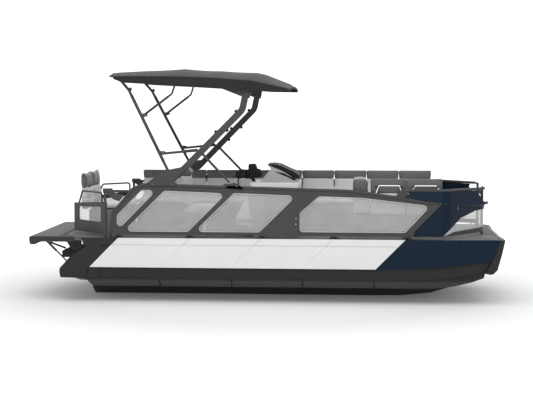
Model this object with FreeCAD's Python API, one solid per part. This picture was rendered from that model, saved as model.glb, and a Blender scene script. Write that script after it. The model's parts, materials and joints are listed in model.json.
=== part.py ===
# A pontoon boat about seven metres long: two outer pontoons and a deeper centre hull carry
# a flat deck, with a fence of cut-out panels round the cockpit, lounges, a helm with a
# handlebar, a water-jet drive, a swim platform and a soft top on a raked tower.
# Units are millimetres. X points to the bow, Y to port and Z up. The origin is on the
# floor below the middle of the overall length, at the centre line.
import FreeCAD, Part
import math
import os

V = FreeCAD.Vector

# Main sizes
HULL_LENGTH = 6400.0
PLATFORM_OVERHANG = 498.0
BEAM = 2500.0
STERN_LENGTH = 437.0
BOW_LENGTH = 1843.0
BAY_COUNT = 4
DECK_TOP = 940.0
PONTOON_BOTTOM = 215.0
CHINE_TOP = 515.0
SIDE_PANEL_THICKNESS = 22.0
DECK_THICKNESS = 34.0
MAT_THICKNESS = 6.0
CROSS_BEAM_HEIGHT = 60.0
SEAT_GAP = 0.3
MOVING_GAP = 6.0
RUNNING_GAP = 0.05
OVERRUN = 50.0

BAY = (HULL_LENGTH - STERN_LENGTH - BOW_LENGTH) / BAY_COUNT
X_BOW = (HULL_LENGTH + PLATFORM_OVERHANG) / 2
X_STERN = X_BOW - HULL_LENGTH
X_PLATFORM = -X_BOW
HALF_BEAM = BEAM / 2
HULL_SIDE = HALF_BEAM - SIDE_PANEL_THICKNESS
DECK_BASE = DECK_TOP - MAT_THICKNESS
DECK_UNDERSIDE = DECK_BASE - DECK_THICKNESS
HULL_TOP = DECK_UNDERSIDE - CROSS_BEAM_HEIGHT


# Drawing helpers
def in_xz(y):
    return lambda u, w: V(u, y, w)


def in_yz(x):
    return lambda u, w: V(x, u, w)


def in_xy(z):
    return lambda u, w: V(u, w, z)


def closed_face(points, place):
    corners = [place(u, w) for u, w in points]
    return Part.Face(Part.makePolygon(corners + corners[:1]))


def prism_xz(points, y_low, y_high):
    return closed_face(points, in_xz(y_low)).extrude(V(0, y_high - y_low, 0))


def prism_yz(points, x_low, x_high):
    return closed_face(points, in_yz(x_low)).extrude(V(x_high - x_low, 0, 0))


def prism_xy(points, z_low, z_high):
    return closed_face(points, in_xy(z_low)).extrude(V(0, 0, z_high - z_low))


def block(x_low, x_high, y_low, y_high, z_low, z_high):
    return Part.makeBox(x_high - x_low, y_high - y_low, z_high - z_low, V(x_low, y_low, z_low))


def corner_cut(before, corner, after, radius):
    """Ends and middle of the arc that rounds one corner of a route."""
    back = (before - corner).normalize()
    ahead = (after - corner).normalize()
    half = back.getAngle(ahead) / 2
    reach = radius / math.tan(half)
    middle = (back + ahead).normalize()
    return corner + back * reach, corner + middle * (radius / math.sin(half) - radius), corner + ahead * reach


def rounded_route(corners, radius, closed=False):
    """Wire of straight runs and tangent arcs through a list of corners."""
    count = len(corners)
    inner = range(count) if closed else range(1, count - 1)
    cuts = [corner_cut(corners[i - 1], corners[i], corners[(i + 1) % count], radius) for i in inner]
    edges = []
    here = cuts[-1][2] if closed else corners[0]
    for start, middle, end in cuts:
        edges.append(Part.LineSegment(here, start).toShape())
        edges.append(Part.Arc(start, middle, end).toShape())
        here = end
    if not closed:
        edges.append(Part.LineSegment(here, corners[-1]).toShape())
    return Part.Wire(edges)


def rounded_prism_xz(points, radius, y_low, y_high):
    wire = rounded_route([V(u, y_low, w) for u, w in points], radius, closed=True)
    return Part.Face(wire).extrude(V(0, y_high - y_low, 0))


def rounded_prism_xy(points, radius, z_low, z_high):
    wire = rounded_route([V(u, w, z_low) for u, w in points], radius, closed=True)
    return Part.Face(wire).extrude(V(0, 0, z_high - z_low))


def rounded_prism_yz(points, radius, x_low, x_high):
    wire = rounded_route([V(x_low, u, w) for u, w in points], radius, closed=True)
    return Part.Face(wire).extrude(V(x_high - x_low, 0, 0))


def tube(corners, tube_radius, bend_radius):
    """Solid round bar along straight runs with tangent bends."""
    if len(corners) == 2:
        return rod(corners[0], corners[1], tube_radius)
    path = rounded_route(corners, bend_radius)
    section = Part.Wire(Part.makeCircle(tube_radius, corners[0], corners[1] - corners[0]))
    return path.makePipeShell([section], True, False)


def rod(start, end, radius):
    run = end - start
    return Part.makeCylinder(radius, run.Length, start, run)


def mirrored(shape):
    return shape.mirror(V(0, 0, 0), V(0, 1, 0))


def largest(shape):
    return max(shape.Solids, key=lambda piece: piece.Volume)


def both_sides(shape):
    return Part.makeCompound([shape, mirrored(shape)])


def spots(x_start, z_start, x_unit, z_unit, shares):
    return [(x_start + a * x_unit, z_start + b * z_unit) for a, b in shares]


def ring_of(shape, count, centre, axis):
    copies = []
    for step in range(count):
        copy = shape.copy()
        copy.rotate(centre, axis, step * 360 / count)
        copies.append(copy)
    return copies


# Plan shape of the hull sides, which draw in a little towards the bow
BOW_CURVE_LENGTH = 1150.0
BOW_DRAW_WIDTH = 90.0
BOW_CURVE_START = X_BOW - BOW_CURVE_LENGTH
BOW_CURVE_RADIUS = (BOW_CURVE_LENGTH ** 2 + BOW_DRAW_WIDTH ** 2) / (2 * BOW_DRAW_WIDTH)


def hull_side_at(x):
    """Half width of the hull below the side panels at x."""
    along = max(0, x - BOW_CURVE_START)
    return HULL_SIDE - BOW_CURVE_RADIUS + math.sqrt(BOW_CURVE_RADIUS ** 2 - along ** 2)


def hull_plan(inset, z_low, z_high):
    """Prism of the hull's outline seen from above, drawn in all round by the inset."""
    half = HALF_BEAM - inset
    start = BOW_CURVE_START
    turn = math.atan2(BOW_DRAW_WIDTH, BOW_CURVE_LENGTH)
    middle_x = start + BOW_CURVE_RADIUS * math.sin(turn)
    middle_y = half - BOW_CURVE_RADIUS * (1 - math.cos(turn))
    end_y = half - BOW_DRAW_WIDTH
    corners = [V(X_PLATFORM, -half, z_low), V(start, -half, z_low), V(X_BOW, -end_y, z_low)]
    port = [V(X_BOW, end_y, z_low), V(start, half, z_low), V(X_PLATFORM, half, z_low)]
    edges = [
        Part.LineSegment(corners[0], corners[1]).toShape(),
        Part.Arc(corners[1], V(middle_x, -middle_y, z_low), corners[2]).toShape(),
        Part.LineSegment(corners[2], port[0]).toShape(),
        Part.Arc(port[0], V(middle_x, middle_y, z_low), port[1]).toShape(),
        Part.LineSegment(port[1], port[2]).toShape(),
        Part.LineSegment(port[2], corners[0]).toShape(),
    ]
    return Part.Face(Part.Wire(edges)).extrude(V(0, 0, z_high - z_low))


def side_skin(points, thickness):
    """Curved port-side plate whose side view is the given outline."""
    outer = hull_plan(HALF_BEAM - HULL_SIDE - thickness, 0, DECK_TOP)
    inner = hull_plan(HALF_BEAM - HULL_SIDE, 0, DECK_TOP)
    return prism_xz(points, 0, BEAM).common(outer.cut(inner))


# Outer pontoons
PONTOON_WIDTH = 460.0
PONTOON_STERN = 378.0
PONTOON_STERN_RAKE_LENGTH = 90.0
PONTOON_STERN_RISE = 115.0
PONTOON_BOW_START = 4550.0
PONTOON_DEPTH = CHINE_TOP - PONTOON_BOTTOM
PONTOON_INNER = HULL_SIDE - PONTOON_WIDTH
# Share of the width from the outer side, share of the depth from the bottom
PONTOON_SECTION_SHARES = (
    (0.0, 0.95), (0.03, 0.92), (0.05, 0.48), (0.09, 0.45), (0.13, 0.24),
    (0.26, 0.04), (0.42, 0.0), (0.58, 0.0), (0.82, 0.10), (0.95, 0.36), (1.0, 1.0))
# Share of the bow's length, share of the depth that the bottom and the chine have risen
PONTOON_BOW_SHARES = (
    (0.0, 0.0, 0.0), (0.25, 0.0, 0.02), (0.46, 0.02, 0.09), (0.62, 0.12, 0.2),
    (0.76, 0.33, 0.31), (0.88, 0.6, 0.39), (1.0, 0.96, 0.46))
# Seen from the side, aft of the pontoon's own end: share of the overhang, share of the height
SPONSON_SHARES = (
    (0.0, 0.0), (0.93, 0.0), (0.98, 0.22), (0.96, 0.27), (0.6, 0.6), (-0.05, 0.95), (-0.05, 1.0),
    (-0.5, 1.0), (-0.5, 0.0))
SPONSON_BOTTOM = 361.0


def pontoon_section(x, bottom, chine):
    depth = chine - bottom
    outer = hull_side_at(x)
    width = outer - PONTOON_INNER
    points = [(outer, HULL_TOP)]
    points += [(outer - a * width, bottom + b * depth) for a, b in PONTOON_SECTION_SHARES]
    return points + [(PONTOON_INNER, HULL_TOP)]


def pontoon():
    straight_end = X_STERN + PONTOON_BOW_START
    bow_length = X_BOW - straight_end
    straight_start = X_STERN + PONTOON_STERN
    body = prism_yz(pontoon_section(0, PONTOON_BOTTOM, CHINE_TOP), straight_start, straight_end)
    wires = []
    for along, bottom_rise, chine_rise in PONTOON_BOW_SHARES:
        x = straight_end + along * bow_length
        bottom = PONTOON_BOTTOM + bottom_rise * PONTOON_DEPTH
        chine = CHINE_TOP + chine_rise * PONTOON_DEPTH
        points = [V(x, u, w) for u, w in pontoon_section(x, bottom, chine)]
        wires.append(Part.makePolygon(points + points[:1]))
    bow = Part.makeLoft(wires, True, True)
    heel_x = straight_start + PONTOON_STERN_RAKE_LENGTH
    heel = [(straight_start - OVERRUN, PONTOON_BOTTOM - OVERRUN),
            (straight_start, PONTOON_BOTTOM + PONTOON_STERN_RISE), (heel_x, PONTOON_BOTTOM), (heel_x, 0)]
    body = body.cut(prism_xz(heel, PONTOON_INNER - OVERRUN, HALF_BEAM))
    sponson = prism_xz(spots(straight_start, SPONSON_BOTTOM, -PONTOON_STERN, HULL_TOP - SPONSON_BOTTOM,
                             SPONSON_SHARES), PONTOON_INNER, HULL_SIDE)
    whole = body.fuse([bow, sponson]).removeSplitter()
    return largest(whole.cut(prism_xz(bow_front(), 0, BEAM)))


# Dark moulding on the front of each pontoon, side view from its lower aft corner
TRIM_REACH = 279.0
TRIM_BOTTOM = 445.0
TRIM_HEIGHT = DECK_TOP - TRIM_BOTTOM
# Share of the reach from the aft end, share of the height
TRIM_AFT_SHARES = ((0.0, 0.03), (0.56, 0.595), (0.763, 1.0))
TRIM_FRONT_SHARES = ((1.0, 0.99), (0.85, 0.6), (0.62, 0.14), (0.434, 0.03), (0.287, 0.0))


def trim_points(shares):
    return spots(X_BOW - TRIM_REACH, TRIM_BOTTOM, TRIM_REACH, TRIM_HEIGHT, shares)


def bow_front():
    """Outline of everything ahead of the trim's aft edge."""
    aft = trim_points(TRIM_AFT_SHARES)
    low = (aft[0][0] - OVERRUN * TRIM_AFT_SHARES[1][0], PONTOON_BOTTOM)
    return [low] + aft + [(aft[-1][0], DECK_TOP + OVERRUN), (X_BOW + OVERRUN, DECK_TOP + OVERRUN),
                          (X_BOW + OVERRUN, PONTOON_BOTTOM)]


def bow_trim():
    outline = trim_points(TRIM_AFT_SHARES) + trim_points(TRIM_FRONT_SHARES)
    return prism_xz(outline, PONTOON_INNER, HALF_BEAM).common(hull_plan(0, 0, DECK_TOP))


# Side panels: a white one along the bays, a navy one at the bow, a dark quarter at the stern
PANEL_HEIGHT = DECK_TOP - CHINE_TOP
PANEL_RAKE = 420.0
PANEL_CREASE = 105.0
PANEL_STEP = 6.0
# Share of the navy panel's length, share of the panel's height
BOW_PANEL_LOWER_SHARES = ((0.22, 0.02), (0.42, 0.04), (0.65, 0.145), (0.88, 0.265), (0.945, 0.3))
QUARTER_SHARES = (
    (0.0, 1.0), (0.07, 0.855), (0.18, 0.8), (-0.42, 0.495), (-0.74, 0.235), (-0.76, 0.155),
    (-0.725, 0.0), (0.11, -0.02), (0.22, 0.235), (0.26, 0.27), (1.255, 1.0))
QUARTER_LENGTH = 428.0


def white_panel():
    start = X_STERN + STERN_LENGTH
    length = BAY_COUNT * BAY
    outline = [(start, CHINE_TOP), (start + length, CHINE_TOP),
               (start + length + PANEL_RAKE, DECK_TOP), (start + PANEL_RAKE, DECK_TOP)]
    plate = side_skin(outline, SIDE_PANEL_THICKNESS)
    crease = DECK_TOP - PANEL_CREASE
    band = block(X_STERN, X_BOW, HALF_BEAM - PANEL_STEP, HALF_BEAM + OVERRUN, crease, DECK_TOP + OVERRUN)
    return plate.cut(band)


def navy_panel():
    start = X_STERN + STERN_LENGTH + BAY_COUNT * BAY
    length = X_BOW - start
    lower = spots(start, CHINE_TOP, length, PANEL_HEIGHT, BOW_PANEL_LOWER_SHARES)
    outline = [(start, CHINE_TOP)] + lower + [(X_BOW, lower[-1][1]), (X_BOW, DECK_TOP),
                                              (start + PANEL_RAKE, DECK_TOP)]
    plate = side_skin(outline, SIDE_PANEL_THICKNESS)
    return plate.cut(prism_xz(bow_front(), 0, BEAM))


def stern_quarter():
    right = X_STERN + STERN_LENGTH + PANEL_RAKE - QUARTER_SHARES[-1][0] * QUARTER_LENGTH
    outline = spots(right, SPONSON_BOTTOM, QUARTER_LENGTH, DECK_TOP - SPONSON_BOTTOM, QUARTER_SHARES)
    return side_skin(outline, SIDE_PANEL_THICKNESS)


# Centre hull
CENTRE_WIDTH = 1040.0
KEEL_PAD_WIDTH = 600.0
CENTRE_CHINE_HEIGHT = 110.0
CENTRE_CHINE_INSET = 20.0
TRANSOM = 331.0
CENTRE_BOW_START = 4500.0
CENTRE_BOW_GAP = 110.0
# Share of the bow's length, share of the hull's height risen, share of the width kept
CENTRE_BOW_SHARES = (
    (0.0, 0.0, 1.0), (0.25, 0.008, 1.0), (0.5, 0.06, 0.99), (0.72, 0.2, 0.97),
    (0.88, 0.42, 0.93), (1.0, 0.76, 0.88))
STERN_STEP_WIDTH = 640.0
STERN_STEP_REACH = 180.0
STERN_STEP_DROP = 300.0
STERN_STEP_CORNER = 30.0
STERN_STEP_HEIGHT = 110.0

EYE_REACH = 30.0
EYE_BORE = 14.0
EYE_WALL = 14.0
EYE_THICKNESS = 18.0
EYE_DROP = 110.0

TRANSOM_X = X_STERN + TRANSOM
EYE_X = X_BOW - CENTRE_BOW_GAP + EYE_REACH
EYE_Z = HULL_TOP - EYE_DROP
JET_Z = 230.0
JET_BORE = 75.0
DUCT_LENGTH = 320.0
INTAKE_RUN = 460.0
INTAKE_WIDTH = 138.0
GRATE_BAR_COUNT = 5
GRATE_BAR_WIDTH = 8.0
GRATE_BAR_HEIGHT = 14.0
SHAFT_RADIUS = 14.0
BEARING_LENGTH = 120.0
ENGINE_LENGTH = 760.0
ENGINE_WIDTH = 480.0
ENGINE_FLOOR = 300.0
ENGINE_ROOM_GAP = 60.0
ENGINE_AFT = 120.0
ENGINE_HEADROOM = 20.0


def centre_section(rise, width_share):
    half = CENTRE_WIDTH / 2 * width_share
    pad = KEEL_PAD_WIDTH / 2 * width_share
    side = [(pad, rise), (half - CENTRE_CHINE_INSET, rise + CENTRE_CHINE_HEIGHT * (1 - rise / HULL_TOP)),
            (half, rise + 2 * CENTRE_CHINE_HEIGHT * (1 - rise / HULL_TOP)), (half, HULL_TOP)]
    return side + [(-u, w) for u, w in reversed(side)]


def intake_tunnel():
    duct_end = TRANSOM_X + DUCT_LENGTH
    duct = Part.makeCylinder(JET_BORE, DUCT_LENGTH + OVERRUN, V(TRANSOM_X - OVERRUN, 0, JET_Z), V(1, 0, 0))
    half = INTAKE_WIDTH / 2
    ramp = prism_xz([(duct_end - JET_BORE, JET_Z + half), (duct_end - JET_BORE, JET_Z - half),
                     (duct_end, 0), (duct_end + INTAKE_RUN, 0)], -half, half)
    return duct.fuse(ramp)


def intake_grate(tunnel):
    bars = []
    pitch = INTAKE_WIDTH / (GRATE_BAR_COUNT + 1)
    for step in range(GRATE_BAR_COUNT):
        y = (step + 1) * pitch - INTAKE_WIDTH / 2
        bars.append(block(TRANSOM_X, X_BOW, y - GRATE_BAR_WIDTH / 2, y + GRATE_BAR_WIDTH / 2,
                          0, GRATE_BAR_HEIGHT))
    return [tunnel.common(bar) for bar in bars]


def engine_room():
    aft = TRANSOM_X + DUCT_LENGTH + ENGINE_AFT - ENGINE_ROOM_GAP
    half = ENGINE_WIDTH / 2 + ENGINE_ROOM_GAP
    return block(aft, aft + ENGINE_LENGTH + 2 * ENGINE_ROOM_GAP, -half, half,
                 ENGINE_FLOOR, HULL_TOP + OVERRUN)


def bow_eye():
    """Flat lug on the stem for the trailer's winch shackle, bored from above to below."""
    half = EYE_THICKNESS / 2
    radius = EYE_BORE + EYE_WALL
    ring = Part.makeCylinder(radius, EYE_THICKNESS, V(EYE_X, 0, EYE_Z - half))
    neck = block(EYE_X - EYE_REACH - radius, EYE_X, -radius, radius, EYE_Z - half, EYE_Z + half)
    return neck.fuse(ring)


def stern_step():
    """Rounded step moulding on the transom, above the jet."""
    half = STERN_STEP_WIDTH / 2
    low = HULL_TOP - STERN_STEP_DROP
    aft = X_STERN - STERN_STEP_REACH
    front = TRANSOM_X + STERN_STEP_REACH
    plan = [(TRANSOM_X, -half), (TRANSOM_X, half), (aft, half), (aft, -half)]
    side = [(front, low), (front, low + STERN_STEP_HEIGHT), (aft, low + STERN_STEP_HEIGHT), (aft, low)]
    return prism_xy(plan, low, low + STERN_STEP_HEIGHT).common(
        rounded_prism_xz(side, STERN_STEP_CORNER, -half, half))


def centre_hull():
    bow_start = X_STERN + CENTRE_BOW_START
    bow_length = X_BOW - CENTRE_BOW_GAP - bow_start
    body = prism_yz(centre_section(0, 1), TRANSOM_X, bow_start)
    wires = []
    for along, rise, width in CENTRE_BOW_SHARES:
        x = bow_start + along * bow_length
        points = [V(x, u, w) for u, w in centre_section(rise * HULL_TOP, width)]
        wires.append(Part.makePolygon(points + points[:1]))
    bow = Part.makeLoft(wires, True, True)
    hull = body.fuse([bow, bow_eye()]).removeSplitter()
    hull = hull.cut(Part.makeCylinder(EYE_BORE, EYE_THICKNESS, V(EYE_X, 0, EYE_Z - EYE_THICKNESS / 2)))
    tunnel = intake_tunnel()
    hull = hull.cut(tunnel).cut(engine_room())
    bearing = Part.makeCylinder(SHAFT_RADIUS + RUNNING_GAP, DUCT_LENGTH + BEARING_LENGTH,
                                V(TRANSOM_X, 0, JET_Z), V(1, 0, 0))
    return hull.cut(bearing).fuse(intake_grate(tunnel))


def engine_block():
    aft = TRANSOM_X + DUCT_LENGTH + ENGINE_AFT
    half = ENGINE_WIDTH / 2
    return block(aft, aft + ENGINE_LENGTH, -half, half, ENGINE_FLOOR, HULL_TOP - ENGINE_HEADROOM)


# Water-jet drive: pump with stator, impeller, steering nozzle and reverse bucket
PUMP_LENGTH = 250.0
PUMP_WALL = 12.0
PUMP_FLANGE_RADIUS = 118.0
PUMP_FLANGE_THICKNESS = 16.0
VENTURI_BORE = 46.0
VENTURI_WALL = 10.0
PUMP_STRAIGHT = 130.0
STATOR_VANE_COUNT = 6
STATOR_LENGTH = 50.0
STATOR_THICKNESS = 5.0
STATOR_HUB = 30.0
IMPELLER_BLADE_COUNT = 4
IMPELLER_LENGTH = 60.0
IMPELLER_HUB = 30.0
IMPELLER_TIP_GAP = 5.0
IMPELLER_BLADE = 4.0
IMPELLER_PITCH_TURN = 40.0
IMPELLER_SECTION_SHARES = (0.0, 0.5, 1.0)
NOZZLE_PIVOT = 30.0
NOZZLE_BORE = 72.0
NOZZLE_WALL = 9.0
NOZZLE_LENGTH = 150.0
NOZZLE_EXIT_BORE = 50.0
NOZZLE_PIN_RADIUS = 8.0
NOZZLE_EAR = 24.0
BUCKET_RADIUS = 128.0
BUCKET_WALL = 10.0
BUCKET_HALF_WIDTH = 96.0
BUCKET_PIVOT = 60.0
BUCKET_LOW_ANGLE = 42.0
BUCKET_HIGH_ANGLE = 122.0
BUCKET_EAR_WALL = 8.0
BUCKET_PIN_RADIUS = 9.0
QUARTER_TURN = 90.0

PUMP_END_X = TRANSOM_X - PUMP_LENGTH
NOZZLE_PIVOT_X = PUMP_END_X + NOZZLE_PIVOT
BUCKET_PIVOT_X = NOZZLE_PIVOT_X - BUCKET_PIVOT
IMPELLER_X = TRANSOM_X - PUMP_FLANGE_THICKNESS


def turned(points):
    """Solid of revolution about the jet's axis from (x, radius) points."""
    face = closed_face([(x, JET_Z + r) for x, r in points], in_xz(0))
    return face.revolve(V(0, 0, JET_Z), V(1, 0, 0), 360)


def jet_pump():
    straight_x = TRANSOM_X - PUMP_STRAIGHT
    outer = JET_BORE + PUMP_WALL
    shell = turned([
        (TRANSOM_X, JET_BORE), (TRANSOM_X, PUMP_FLANGE_RADIUS),
        (TRANSOM_X - PUMP_FLANGE_THICKNESS, PUMP_FLANGE_RADIUS), (TRANSOM_X - PUMP_FLANGE_THICKNESS, outer),
        (straight_x, outer), (NOZZLE_PIVOT_X + NOZZLE_PIVOT, VENTURI_BORE + VENTURI_WALL),
        (PUMP_END_X, VENTURI_BORE + VENTURI_WALL), (PUMP_END_X, VENTURI_BORE),
        (NOZZLE_PIVOT_X + NOZZLE_PIVOT, VENTURI_BORE), (straight_x, JET_BORE)])
    stator_x = straight_x
    vane = block(stator_x, stator_x + STATOR_LENGTH, -STATOR_THICKNESS / 2, STATOR_THICKNESS / 2,
                 JET_Z + STATOR_HUB - STATOR_THICKNESS, JET_Z + JET_BORE + PUMP_WALL / 2)
    hub = turned([(stator_x, 0), (stator_x, STATOR_HUB), (stator_x + STATOR_LENGTH, STATOR_HUB),
                  (stator_x + STATOR_LENGTH, 0)])
    pieces = ring_of(vane, STATOR_VANE_COUNT, V(stator_x, 0, JET_Z), V(1, 0, 0)) + [hub]
    pin_base = VENTURI_BORE + VENTURI_WALL / 2
    pin_length = NOZZLE_BORE + NOZZLE_WALL - pin_base
    for side in (1, -1):
        pieces.append(Part.makeCylinder(NOZZLE_PIN_RADIUS, pin_length,
                                        V(NOZZLE_PIVOT_X, 0, JET_Z + side * pin_base), V(0, 0, side)))
    whole = shell.fuse(pieces).removeSplitter()
    bearing = Part.makeCylinder(SHAFT_RADIUS + RUNNING_GAP, STATOR_LENGTH / 2,
                                V(stator_x + STATOR_LENGTH / 2, 0, JET_Z), V(1, 0, 0))
    return whole.cut(bearing)


def impeller():
    tail_x = TRANSOM_X - PUMP_STRAIGHT + STATOR_LENGTH
    front_x = IMPELLER_X
    back_x = front_x - IMPELLER_LENGTH
    shaft_end = TRANSOM_X + DUCT_LENGTH + BEARING_LENGTH / 2
    shaft = Part.makeCylinder(SHAFT_RADIUS, shaft_end - tail_x + STATOR_LENGTH / 4,
                              V(tail_x - STATOR_LENGTH / 4, 0, JET_Z), V(1, 0, 0))
    hub = turned([(back_x, 0), (back_x, IMPELLER_HUB), (front_x, IMPELLER_HUB / 2), (front_x, 0)])
    radius = JET_BORE - IMPELLER_TIP_GAP
    sections = []
    for share in IMPELLER_SECTION_SHARES:
        x = back_x + IMPELLER_BLADE + share * (IMPELLER_LENGTH - 2 * IMPELLER_BLADE)
        half = IMPELLER_BLADE / 2
        flat = [V(x, -half, SHAFT_RADIUS), V(x, half, SHAFT_RADIUS), V(x, half, radius), V(x, -half, radius)]
        wire = Part.makePolygon(flat + flat[:1])
        wire.rotate(V(x, 0, 0), V(1, 0, 0), share * IMPELLER_PITCH_TURN)
        wire.translate(V(0, 0, JET_Z))
        sections.append(wire)
    blade = Part.makeLoft(sections, True, True)
    blades = ring_of(blade, IMPELLER_BLADE_COUNT, V(back_x, 0, JET_Z), V(1, 0, 0))
    return shaft.fuse([hub] + blades).removeSplitter()


def steering_nozzle():
    exit_x = NOZZLE_PIVOT_X - NOZZLE_LENGTH
    taper_x = NOZZLE_PIVOT_X - NOZZLE_LENGTH / 2
    shell = turned([
        (NOZZLE_PIVOT_X, NOZZLE_BORE), (NOZZLE_PIVOT_X, NOZZLE_BORE + NOZZLE_WALL),
        (taper_x, NOZZLE_BORE + NOZZLE_WALL), (exit_x, NOZZLE_EXIT_BORE + NOZZLE_WALL),
        (exit_x, NOZZLE_EXIT_BORE), (taper_x, NOZZLE_BORE)])
    ears = []
    for side in (1, -1):
        ear_base = NOZZLE_BORE + NOZZLE_WALL / 3
        ear = Part.makeCylinder(NOZZLE_EAR, NOZZLE_WALL, V(NOZZLE_PIVOT_X, 0, JET_Z + side * ear_base),
                                V(0, 0, side))
        ears.append(ear)
        boss_y = side * (NOZZLE_BORE + NOZZLE_WALL / 2)
        ears.append(Part.makeCylinder(BUCKET_PIN_RADIUS, BUCKET_HALF_WIDTH - NOZZLE_BORE - NOZZLE_WALL / 2,
                                      V(BUCKET_PIVOT_X, boss_y, JET_Z), V(0, side, 0)))
    whole = shell.fuse(ears).removeSplitter()
    hole = Part.makeCylinder(NOZZLE_PIN_RADIUS + RUNNING_GAP, 4 * NOZZLE_BORE,
                             V(NOZZLE_PIVOT_X, 0, JET_Z - 2 * NOZZLE_BORE), V(0, 0, 1))
    return whole.cut(hole)


def reverse_bucket():
    inner = BUCKET_RADIUS - BUCKET_WALL
    sweep = BUCKET_HIGH_ANGLE - BUCKET_LOW_ANGLE
    width = 2 * BUCKET_HALF_WIDTH
    pivot = V(BUCKET_PIVOT_X, -BUCKET_HALF_WIDTH, JET_Z)
    shell = Part.makeCylinder(BUCKET_RADIUS, width, pivot, V(0, 1, 0), sweep)
    shell = shell.cut(Part.makeCylinder(inner, width, pivot, V(0, 1, 0)))
    ears = []
    for side in (1, -1):
        y = side * (BUCKET_HALF_WIDTH - BUCKET_EAR_WALL / 2) - BUCKET_EAR_WALL / 2
        seat = V(BUCKET_PIVOT_X, y, JET_Z)
        ears.append(Part.makeCylinder(BUCKET_RADIUS, BUCKET_EAR_WALL, seat, V(0, 1, 0), sweep))
        ears.append(Part.makeCylinder(2 * BUCKET_PIN_RADIUS, BUCKET_EAR_WALL, seat, V(0, 1, 0)))
    whole = shell.fuse(ears)
    hole = Part.makeCylinder(BUCKET_PIN_RADIUS + RUNNING_GAP, width, pivot, V(0, 1, 0))
    whole = whole.cut(hole).removeSplitter()
    whole.rotate(pivot, V(0, 1, 0), BUCKET_LOW_ANGLE - QUARTER_TURN)
    return whole


# Deck on cross beams
CROSS_BEAM_WIDTH = 80.0
CROSS_BEAM_COUNT = 11
CROSS_BEAM_INSET = 60.0
STERN_SEAM = 29.0
STERN_CORNER_INSET = 470.0
STERN_CORNER_X = 291.0
MAT_MARGIN = 30.0
BOW_CAP_DEPTH = 70.0
BOW_CAP_HEIGHT = 120.0
BOW_CAP_SET_BACK = 12.0

STERN_CORNER_Y = HALF_BEAM - STERN_CORNER_INSET
DECK_STERN_X = X_STERN - STERN_SEAM
DECK_CORNER_X = X_STERN + STERN_CORNER_X
CAP_AFT_X = X_BOW - TRIM_REACH + TRIM_AFT_SHARES[-1][0] * TRIM_REACH


def stern_outline(grow, x_front):
    """Outline of the deck's aft end, square across the middle and cut off at the corners."""
    half = HALF_BEAM + OVERRUN
    return [(DECK_STERN_X - grow, -STERN_CORNER_Y), (DECK_CORNER_X - grow, -half), (x_front, -half),
            (x_front, half), (DECK_CORNER_X - grow, half), (DECK_STERN_X - grow, STERN_CORNER_Y)]


def deck():
    plan = hull_plan(HALF_BEAM - HULL_SIDE, DECK_UNDERSIDE, DECK_BASE)
    slab = plan.common(prism_xy(stern_outline(0, CAP_AFT_X), DECK_UNDERSIDE, DECK_BASE))
    return slab.cut(both_sides(bow_trim()))


def deck_mat():
    plan = hull_plan(HALF_BEAM - HULL_SIDE + MAT_MARGIN, DECK_BASE, DECK_TOP)
    return plan.common(prism_xy(stern_outline(-MAT_MARGIN, CAP_AFT_X - MAT_MARGIN), DECK_BASE, DECK_TOP))


def cross_beams():
    first = DECK_CORNER_X + CROSS_BEAM_INSET
    last = CAP_AFT_X - BOW_DRAW_WIDTH - CROSS_BEAM_INSET
    pitch = (last - first) / (CROSS_BEAM_COUNT - 1)
    plan = hull_plan(HALF_BEAM - HULL_SIDE + CROSS_BEAM_INSET, HULL_TOP, DECK_UNDERSIDE)
    beams = []
    for step in range(CROSS_BEAM_COUNT):
        x = first + step * pitch
        beam = block(x - CROSS_BEAM_WIDTH / 2, x + CROSS_BEAM_WIDTH / 2, -HALF_BEAM, HALF_BEAM,
                     HULL_TOP, DECK_UNDERSIDE)
        beams.append(beam.common(plan))
    return Part.makeCompound(beams)


def bow_cap():
    """Navy rim across the front of the deck, between the two trims."""
    front = X_BOW - BOW_CAP_SET_BACK
    low = DECK_TOP - BOW_CAP_HEIGHT
    outline = [(CAP_AFT_X, low), (front - BOW_CAP_DEPTH / 2, low), (front, DECK_TOP - BOW_CAP_SET_BACK),
               (front - BOW_CAP_SET_BACK, DECK_TOP), (CAP_AFT_X, DECK_TOP)]
    return prism_xz(outline, -PONTOON_INNER, PONTOON_INNER)


# Swim platform behind the deck, its braces and the folding ladder
PLATFORM_SIDE_INSET = 105.0
PLATFORM_CORNER = 120.0
PLATFORM_THICKNESS = 74.0
PLATFORM_LIP = 42.0
PLATFORM_LIP_LENGTH = 150.0
PLATFORM_EDGE = 35.0
PLATFORM_EDGE_DROP = 56.0
BRACE_INSET = 200.0
BRACE_RADIUS = 11.0
BRACE_SLEEVE_RADIUS = 17.0
BRACE_TOP_REACH = 268.0
BRACE_FOOT_IN = 76.0
BRACE_SLEEVE_SHARE = 0.45
BRACE_FOOT_RISE = 45.0
LADDER_MOUNT_SPACE = 75.0
MOUNT_WIDTH = 90.0
MOUNT_LENGTH = 250.0
LADDER_CLEAR_WIDTH = 188.0
LADDER_WIDTH = 320.0
LADDER_LENGTH = 560.0
LADDER_TUBE = 14.0
LADDER_RUNG_COUNT = 3
LADDER_RUNG_DEPTH = 50.0
LADDER_DROP = 40.0
LADDER_PIVOT_IN = 75.0
LADDER_PIN = 8.0
LADDER_EAR = 12.0

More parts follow.
